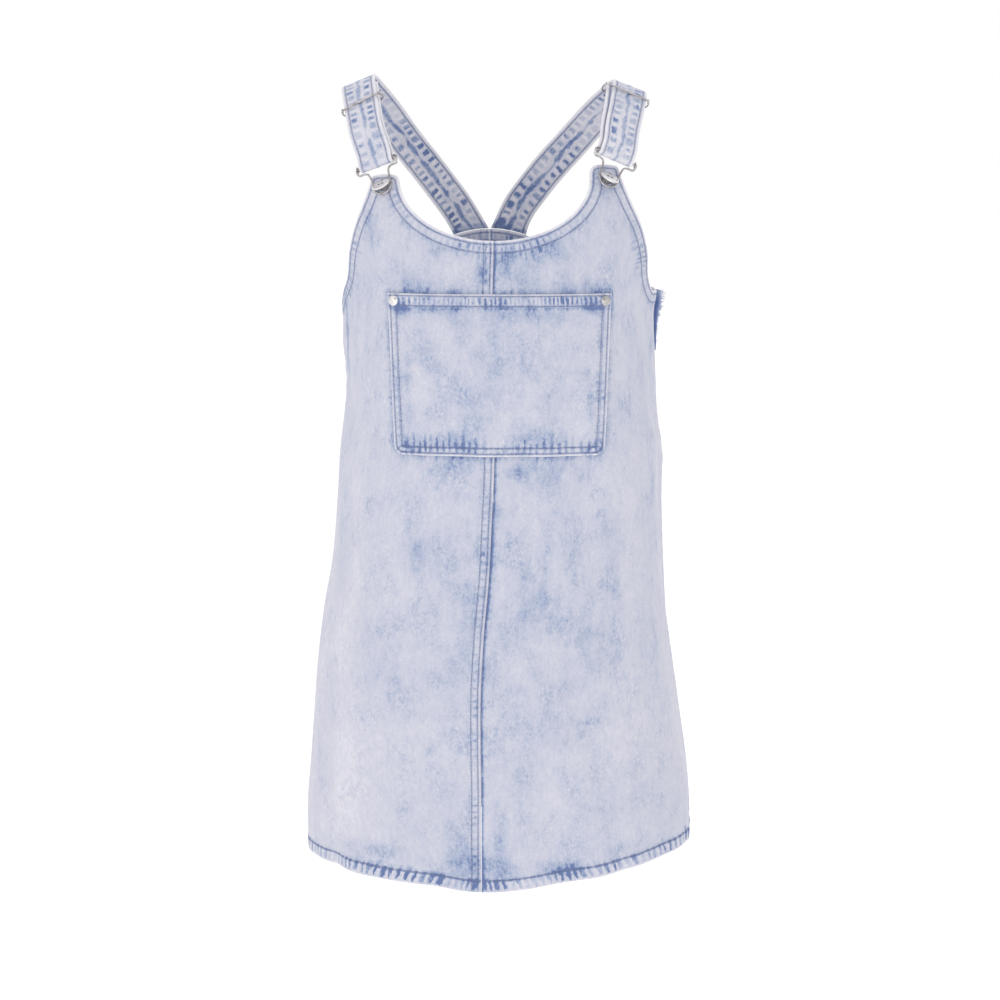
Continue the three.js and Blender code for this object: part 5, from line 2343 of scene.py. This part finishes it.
@dataclass(frozen=True)
class WashedDenim:
    """Bleach-washed denim: pale twill with clouds of indigo, and blue left in the puckers of seams."""

    name: str
    seams: tuple[SeamStyle, ...]
    base: float = 0.35
    clouds: float = 0.5
    grain: float = 0.66
    twill: float = 0.018
    warp: float = 0.85
    paler_reverse_and_painted_light: float = 0.0
    centre_streak: bool = False

    def material(self) -> bpy.types.Material:
        """Make the material.

        Returns:
            The finished material.
        """
        nodes = FinishNodes(self.name)
        cloth = nodes.vector("cloth")
        broad = nodes.noise(cloth, (58, 84, 50), detail=2.5)
        patch = nodes.noise(cloth, (26, 35, 50), detail=4, roughness=0.64, shift=3.1)
        wisp = nodes.noise(cloth, (5.2, 8.5, 50), detail=3, roughness=0.62, shift=5.3)
        slub = nodes.noise(cloth, (1.5, 17, 50), detail=2, roughness=0.6, shift=7.7)
        speck = nodes.noise(cloth, (2.0, 2.9, 50), detail=2, roughness=0.7, shift=12.9)
        clouded = patch.rise(0.36, 0.62)
        blot = patch.rise(0.46, 0.74)
        cloud = (broad - 0.5) * 0.5 + (patch - 0.5) * 0.55 + (blot - 0.2) * 0.14
        cloud = cloud + (wisp - 0.5) * (0.5 + 0.8 * blot)
        fleck = (speck - 0.5) * (0.5 + 1.1 * blot) + (slub - 0.5) * 0.16
        # More indigo where the mesh says so: patches of the wash, and on the straps the painted shadow at
        # their cut ends.
        wash = nodes.number("wash")
        indigo = self.base + cloud * self.clouds + fleck * self.grain
        indigo = (indigo + wash * (0.45 + 0.8 * clouded) * (0.45 + 1.1 * speck)).most(0.12)
        warp = (wisp - 0.5) * self.warp + (speck - 0.5) * 0.3
        uneven = Unevenness(warp, clouded, speck, (wisp - 0.5) * 5)
        height = (speck - 0.5) * 0.13 + (slub - 0.5) * 0.05 + (wisp - 0.5) * 0.2
        inside = nodes.number("inside")
        for style in self.seams:
            blue, relief = self._seam(nodes, style, uneven)
            if self.paler_reverse_and_painted_light:
                blue = blue * (1 + 0.45 * inside)
            indigo, height = indigo + blue, height + relief
        if self.centre_streak:
            blue, relief = self._streak(nodes, uneven, inside)
            indigo, height = indigo + blue, height + relief
        # The underside is paler: the cloth's reverse is paler, and the rest is painted light on the strap's
        # shaded underside.
        indigo = indigo - inside * self.paler_reverse_and_painted_light
        across, down, _ = nodes.triple("cloth")
        ribs = ((across * 0.62 + down) * (2 * math.pi / TWILL_PITCH)).sine()
        height = height + ribs * self.twill
        indigo = indigo + ribs * 0.012
        colour = nodes.ramp(indigo.clamped(), INDIGO_STOPS)
        rough = 0.86 + (speck - 0.5) * 0.12
        return nodes.surface(
            {"Sheen Weight": 0.12, "Sheen Roughness": 0.5, "Specular IOR Level": 0.22},
            {"Base Color": colour, "Roughness": rough},
            height,
        )

    @staticmethod
    def _seam(nodes: FinishNodes, style: SeamStyle, uneven: "Unevenness") -> tuple[Signal, Signal]:
        """Work out the indigo and the fine relief along one seam.

        Args:
            nodes: The material's nodes.
            style: How the seam is sewn.
            uneven: What makes the marks uneven.

        Returns:
            The indigo and the height that the seam adds.
        """
        phase, off, strength = nodes.triple(style.attribute)
        place = phase + uneven.warp
        number = place.floor()
        first, second, third = nodes.lots(number, style.seed)
        breadth = style.breadth * (0.6 + 0.8 * first)
        if style.wedge:
            breadth = breadth * (1 - style.wedge + off * (1.25 * style.wedge / style.band))
        mark = 1 - abs(place - number - 0.5).rise(breadth * 0.35, breadth * 1.2)
        power = strength * (0.45 + 0.45 * style.even + (0.9 - 0.9 * style.even) * second)
        power = power * (0.6 + 0.6 * uneven.clouded)
        power = power * (0.55 + 0.9 * uneven.speck)
        crest = abs(place - number - 0.5).rise(0.28, 0.5)
        past = off.rise(style.band - 0.5, style.band + 0.8) if style.band else 1.0
        blue = relief = 0.0
        if style.streaks:
            length = style.reach * (0.35 + 1.1 * third)
            fade = 1 - (off - style.band).rise(length * 0.4, length * 1.15)
            blue = blue + mark * fade * past * power * (style.streaks * 1.5)
            relief = relief - mark * fade * strength * 0.1
        if style.ticks:
            start, end = style.tick_from + third * 1.4, style.tick_to - second * 1.2
            along = off + uneven.ragged
            window = along.rise(start - 1.2, start + 1.0) * (1 - along.rise(end - 1.2, end + 1.4))
            blue = blue + mark * window * power * (style.ticks * 1.5)
            blue = blue - crest * window * (0.1 * style.ticks + 0.02)
            relief = relief - mark * window * strength * 0.2
        if style.halo:
            soft = (1 - (off - style.band).rise(0.2, style.halo_reach)) * past
            blue = blue + soft * style.halo * (0.2 + 1.0 * uneven.clouded) * (0.4 + 1.2 * uneven.speck)
        for row in style.rows:
            beside = off.near(row, 1.7)
            blue = blue + beside * (style.row_blue * (0.35 + 1.0 * uneven.speck))
            relief = relief - beside * 0.16
        # Paler at the edge where the edge wear is positive; darker where it is negative, as painted shadow.
        at_edge = 1 - off.rise(0.9, 3.0)
        blue = blue - at_edge * style.edge_wear_and_shadow * (0.5 + uneven.speck)
        return blue, relief

    @staticmethod
    def _streak(nodes: FinishNodes, uneven: "Unevenness", inside: Signal) -> tuple[Signal, Signal]:
        """Work out the blotchy blue line along the middle of a strap.

        Args:
            nodes: The material's nodes.
            uneven: What makes the marks uneven.
            inside: 1 on the strap's underside, where the line is stronger.

        Returns:
            The indigo and the height that it adds.
        """
        _, centre, _ = nodes.triple("strap_middle")
        place = nodes.vector("strap_middle")
        wander = nodes.noise(place, (30, 60, 9), detail=3, roughness=0.6, shift=4.2)
        swell = nodes.noise(place, (14, 60, 9), detail=2, shift=9.4)
        side = abs(centre + (wander - 0.5) * 12 + uneven.warp * 2)
        half = (swell.rise(0.36, 0.66) * 1.5 + 0.7) * (1 + 0.3 * inside)
        line = 1 - side.rise(half * 0.4, half * 1.3 + 0.6)
        present = 0.3 + 0.7 * swell.rise(0.34, 0.5)
        blue = line * present * (0.36 + 0.2 * uneven.clouded + 0.28 * inside)
        return blue * (0.5 + 0.8 * uneven.speck), 0.0 - line * present * 0.2


@dataclass(frozen=True)
class Unevenness:
    """What makes the marks of one cloth uneven."""

    warp: Signal
    clouded: Signal
    speck: Signal
    ragged: Signal


@dataclass(frozen=True)
class RawDenim:
    """Unbleached denim of a raw seam allowance: deep blue twill, paler towards its frayed edge."""

    name: str = "raw_denim"

    def material(self) -> bpy.types.Material:
        """Make the material.

        Returns:
            The finished material.
        """
        nodes = FinishNodes(self.name)
        cloth = nodes.vector("cloth")
        out, down, _ = nodes.triple("cloth")
        speck = nodes.noise(cloth, (0.7, 1.6, 50), detail=2, roughness=0.7)
        patch = nodes.noise(cloth, (5, 12, 50), detail=2, shift=4)
        fade = (out.rise(3.5, 9.0) * 0.6 + (1 - down.rise(0, 14)) * 0.4 + (speck - 0.5) * 0.9).clamped()
        deep = nodes.mixed(patch, linear(78, 102, 158), linear(108, 130, 178))
        colour = nodes.mixed(fade, deep, linear(200, 205, 222))
        ribs = ((out * 0.6 + down) * (2 * math.pi / TWILL_PITCH)).sine() * 0.03
        return nodes.surface(
            {"Sheen Weight": 0.12, "Specular IOR Level": 0.2, "Roughness": 0.92},
            {"Base Color": colour},
            ribs + (speck - 0.5) * 0.12,
        )


@dataclass(frozen=True)
class Thread:
    """Sewing thread, or threads come loose from the cloth."""

    name: str
    dark: tuple[float, float, float]
    light: tuple[float, float, float]

    def material(self) -> bpy.types.Material:
        """Make the material.

        Returns:
            The finished material.
        """
        nodes = FinishNodes(self.name)
        place = nodes.place()
        patch = nodes.noise(place, (0.006, 0.006, 0.006), detail=2)
        twist = nodes.noise(place, (0.0005, 0.0005, 0.0005), detail=1, shift=2)
        colour = nodes.mixed(patch.rise(0.3, 0.75), linear(*self.dark), linear(*self.light))
        return nodes.surface(
            {"Sheen Weight": 0.2, "Specular IOR Level": 0.3, "Roughness": 0.75},
            {"Base Color": colour},
            (twist - 0.5) * 0.08,
        )


@dataclass(frozen=True)
class NickelPlate:
    """Nickel plate on wire and pressed sheet: bright, with fine scratches and dull patches."""

    name: str
    bright: tuple[float, float, float]
    dull: tuple[float, float, float]
    roughness: float

    def material(self) -> bpy.types.Material:
        """Make the material.

        Returns:
            The finished material.
        """
        nodes = FinishNodes(self.name)
        place = nodes.place()
        haze = nodes.noise(place, (0.004, 0.004, 0.004), detail=3)
        scratch = nodes.noise(place, (0.0002, 0.003, 0.0012), detail=2, roughness=0.7, shift=5)
        colour = nodes.mixed(haze.rise(0.35, 0.75), linear(*self.bright), linear(*self.dull))
        # Darkened where the mesh's shade says so: painted shade in the button's pits and under its head, and
        # a plain darkening of one rivet.
        colour = nodes.mixed(nodes.number("shade"), colour, linear(40, 36, 38))
        rough = self.roughness + haze * 0.1 + scratch.rise(0.6, 0.8) * 0.08
        return nodes.surface(
            {"Metallic": 1.0},
            {"Base Color": colour, "Roughness": rough},
            scratch * 0.006,
        )


@dataclass(frozen=True)
class Floor:
    """A plain pale floor."""

    name: str = "pale_floor"

    def material(self) -> bpy.types.Material:
        """Make the material.

        Returns:
            The finished material.
        """
        nodes = FinishNodes(self.name)
        white = linear(250, 250, 250)
        glow = {"Emission Color": (1.0, 1.0, 1.0, 1.0), "Emission Strength": 0.2}
        return nodes.surface({"Base Color": white, "Roughness": 0.9, **glow}, {})


@dataclass(frozen=True)
class Lamp:
    """A soft panel lamp that looks at the dress."""

    name: str
    place: tuple[float, float, float]
    size: float
    power: float


@dataclass
class Studio:
    """Floor, soft light and camera, in metres.

    Each row of the sky gives a direction, where along it the light changes, and how strong it is
    before and after; the stronger of the rows counts.
    """

    floor_z: float = -1.3
    floor_size: float = 60.0
    distance: float = 2.1
    azimuth: float = 1.5
    camera_z: float = -0.06
    aim_z: float = -0.42
    lens: float = 76.7
    shift: float = 0.003
    lamps: tuple[Lamp, ...] = (
        Lamp("key", (-1.5, -2.0, 0.8), 1.8, 7.3),
        Lamp("fill", (1.5, -2.1, 0.3), 1.8, 2.5),
        Lamp("front", (0.0, -2.5, 0.1), 1.2, 4.4),
        Lamp("low", (-0.1, -2.2, -1.0), 1.4, 3.4),
        Lamp("top", (0.1, 0.3, 1.7), 1.6, 4.0),
        Lamp("behind", (0.4, 2.4, 0.8), 2.0, 9.0),
    )
    sky: tuple[tuple[str, float, float, float, float], ...] = (
        ("Y", -0.95, -0.45, 0.12, 1.0), ("Z", 0.24, 0.42, 1.0, 0.12),
    )

    def build(self) -> None:
        """Set up the floor, the light and the camera."""
        bpy.ops.object.select_all(action="DESELECT")
        bpy.ops.mesh.primitive_plane_add(size=self.floor_size, location=(0, 0, self.floor_z))
        floor = bpy.context.object
        floor.name = "floor"
        bpy.ops.object.transform_apply(location=True, rotation=True, scale=True)
        floor.data.materials.append(Floor().material())
        for lamp in self.lamps:
            light = bpy.data.lights.new(lamp.name, "AREA")
            light.shape = "DISK"
            light.size = lamp.size
            light.energy = lamp.power
            holder = bpy.data.objects.new(lamp.name, light)
            holder.location = lamp.place
            aim = Vector((0, 0, self.aim_z)) - Vector(lamp.place)
            holder.rotation_euler = aim.to_track_quat("-Z", "Y").to_euler()
            bpy.context.scene.collection.objects.link(holder)
        self._world()
        self._camera()
        bpy.context.scene.view_settings.view_transform = "Standard"

    def _world(self) -> None:
        """Light the scene evenly, but far less from high up on the side of the camera."""
        world = bpy.data.worlds.new("soft_room")
        bpy.context.scene.world = world
        nodes = NodeTree(world)
        place = nodes.node("ShaderNodeTexCoord").outputs["Generated"]
        split = nodes.node("ShaderNodeSeparateXYZ", inputs={0: place})
        levels = []
        for axis, start, end, first, last in self.sky:
            ends = {"From Min": start, "From Max": end, "To Min": first, "To Max": last}
            spread = nodes.node("ShaderNodeMapRange", inputs={"Value": split.outputs[axis], **ends})
            levels.append(spread.outputs["Result"])
        lightest = nodes.node("ShaderNodeMath", {"operation": "MAXIMUM"}, dict(enumerate(levels)))
        light = {"Color": (1.0, 1.0, 1.0, 1.0), "Strength": lightest.outputs[0]}
        shade = nodes.node("ShaderNodeBackground", inputs=light)
        nodes.node("ShaderNodeOutputWorld", inputs={"Surface": shade.outputs[0]})

    def _camera(self) -> None:
        """Place the camera in front of the dress, at about the height of the shoulders."""
        turn = math.radians(self.azimuth)
        place = Vector((self.distance * math.sin(turn), -self.distance * math.cos(turn), self.camera_z))
        data = bpy.data.cameras.new("front_view")
        data.sensor_width = 36.0
        data.lens = self.lens
        data.shift_x = self.shift
        data.clip_end = 200.0
        camera = bpy.data.objects.new("front_view", data)
        camera.location = place
        aim = Vector((0, 0, self.aim_z)) - place
        camera.rotation_euler = aim.to_track_quat("-Z", "Y").to_euler()
        bpy.context.scene.collection.objects.link(camera)
        bpy.context.scene.camera = camera


@dataclass
class Pinafore:
    """The whole dress: its finishes and the order in which its pieces are built and dressed."""

    panel_denim: bpy.types.Material = field(init=False)
    pocket_denim: bpy.types.Material = field(init=False)
    strap_denim: bpy.types.Material = field(init=False)
    thread: bpy.types.Material = field(init=False)
    wire: bpy.types.Material = field(init=False)
    pressed: bpy.types.Material = field(init=False)
    stitch: tuple[np.ndarray, np.ndarray] = field(init=False)

    def __post_init__(self) -> None:
        """Mix the finishes and model the stitch."""
        self.panel_denim = WashedDenim("washed_denim", PANEL_SEAMS).material()
        pocket = (POCKET_MOUTH, POCKET_SIDE, POCKET_FOOT)
        self.pocket_denim = WashedDenim("pocket_denim", pocket, base=0.33).material()
        straps = (STRAP_EDGE_A, STRAP_EDGE_B)
        # The straps' underside is made paler, partly as painted light on its shaded side.
        self.strap_denim = WashedDenim(
            "strap_denim", straps, base=0.25, clouds=0.4, warp=0.4, paler_reverse_and_painted_light=0.05, centre_streak=True
        ).material()
        self.thread = Thread("sewing_thread", (104, 102, 128), (140, 138, 160)).material()
        self.wire = NickelPlate("bright_wire", (188, 183, 184), (146, 139, 142), 0.1).material()
        self.pressed = NickelPlate("pressed_nickel", (238, 235, 234), (214, 210, 211), 0.3).material()
        self.stitch = stitch_shape()

    def settle(
        self, piece: bpy.types.Object, material: bpy.types.Material, slot: str, *nodes: str
    ) -> bpy.types.Object:
        """Give a piece its finish and its place in the frame.

        Args:
            piece: The piece.
            material: Its finish.
            slot: The record's material slot that it follows; not used.
            nodes: The CAD nodes that it stands for.

        Returns:
            The same piece.
        """
        piece.data.materials.clear()
        piece.data.materials.append(material)
        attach(piece, "root")
        if nodes:
            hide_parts(*nodes)
        LOG.info("%s: %d faces", piece.name, len(piece.data.polygons))
        return piece

    def panel(self, side: Side, facing: Facing) -> ClothSheet:
        """Build a half panel with its stitching.

        Args:
            side: The wearer's side.
            facing: Front or back.

        Returns:
            The panel.
        """
        panel = HalfPanel(side, facing)
        sheet = panel.build()
        self.settle(sheet.piece, self.panel_denim, "denim", panel.node)
        surface = sheet.surface()
        sewing = Stitching(f"stitches_{panel.node}")
        top, hem = sheet.seams[TOP_EDGE.attribute], sheet.seams[HEM_EDGE.attribute]
        top_rows = [offset_path(top, sheet.middle, distance) for distance in TOP_EDGE.rows]
        for path in top_rows:
            sewing.row(path, surface)
        for distance in HEM_EDGE.rows:
            sewing.row(offset_path(hem, sheet.middle, distance), surface)
        if panel.felled:
            low, high = POCKET_SHAPE.bottom_z + 1, POCKET_SHAPE.top_z - 1
            covered = facing is Facing.FRONT
            middle = sheet.seams[MIDDLE_SEAM.attribute]
            for distance in MIDDLE_SEAM.rows:
                path = offset_path(middle, sheet.middle, distance)
                sewing.row(path, surface, keep=lambda place: not (covered and low < place[2] < high))
        lining = sheet.surface(inside=True)
        for path in top_rows:
            sewing.row(path, lining, outward=-1)
        stitches = self.settle(sewing.build(self.stitch), self.thread, "denim")
        sheet.declare("hung", [f"denim_strap_{side.word}"], [stitches])
        return sheet

    def pocket(self) -> ClothSheet:
        """Build the bib pocket with its stitching.

        Returns:
            The pocket.
        """
        sheet = BibPocket().build()
        self.settle(sheet.piece, self.pocket_denim, "denim", "bib_pocket")
        surface = sheet.surface()
        sewing = Stitching("stitches_bib_pocket")
        out = POCKET_BASE + POCKET_WALL
        for distance in POCKET_MOUTH.rows:
            reach = POCKET_SHAPE.top_half - 1.5
            x = np.arange(-reach, reach, 1.5) + POCKET_SHAPE.middle
            mouth = np.stack([x, np.full(x.shape, POCKET_SHAPE.top_z - distance)], -1)
            sewing.row(lay_on_front(mouth, out), surface, pitch=3.0)
        for distance in POCKET_FOOT.rows:
            sewing.row(lay_on_front(POCKET_SHAPE.around(distance), out), surface)
        stitches = self.settle(sewing.build(self.stitch), self.thread, "denim")
        sheet.declare("laid", ["denim_front_left", "denim_front_right"], [stitches])
        return sheet

    def strap(self, side: Side) -> Strap:
        """Build a strap with its stitching.

        Args:
            side: The wearer's side.

        Returns:
            The strap.
        """
        strap = Strap(side)
        sheet = strap.build()
        self.settle(sheet.piece, self.strap_denim, "denim", strap.node)
        sewing = Stitching(f"stitches_{strap.node}", proud=0.12)
        sewn = STRAP_MARKS.index(STRAP_EDGE_A.rows[0])
        for grid, outward in ((sheet.outer, 1), (sheet.inner, -1)):
            for column in (sewn, grid.shape[0] - 1 - sewn):
                sewing.lie(grid, column, outward)
        stitches = self.settle(sewing.build(self.stitch), self.thread, "denim")
        sheet.declare("hung", [f"denim_back_{side.word}", f"wire_buckle_{side.word}"], [stitches])
        return strap

    def flap(self) -> None:
        """Build the raw strip of seam allowance with its fraying."""
        sheet, pale, blue = SeamFlap().build()
        self.settle(sheet.piece, RawDenim().material(), "denim_inside", "seam_flap")
        pale_thread = Thread("pale_threads", (206, 208, 220), (236, 236, 240)).material()
        blue_thread = Thread("blue_threads", (92, 112, 164), (150, 164, 200)).material()
        self.settle(pale, pale_thread, "denim_inside")
        self.settle(blue, blue_thread, "denim_inside")
        sheet.declare("hung", ["denim_front_left", "denim_back_left"], [pale, blue])

    def hardware(self, strap: Strap) -> None:
        """Build the wire and the buttons of one side.

        Args:
            strap: The strap of that side.
        """
        word = strap.side.word
        self.settle(Buckle(strap.side).build(), self.wire, "steel", f"buckle_{word}")
        self.settle(Slider(strap).build(), self.wire, "steel", f"slider_{word}")
        self.settle(Button(strap.side).build(), self.pressed, "steel", f"button_{word}")
        self.settle(Rivet(strap.side).build(), self.pressed, "steel", f"rivet_{word}")


def main() -> None:
    """Build the studio and the dress, piece by piece."""
    logging.basicConfig(level=logging.INFO, format="%(name)s: %(message)s")
    Studio().build()
    dress = Pinafore()
    for side in Side:
        for facing in Facing:
            dress.panel(side, facing)
    dress.pocket()
    for side in Side:
        dress.hardware(dress.strap(side))
    dress.flap()


if __name__ == "__main__":
    main()
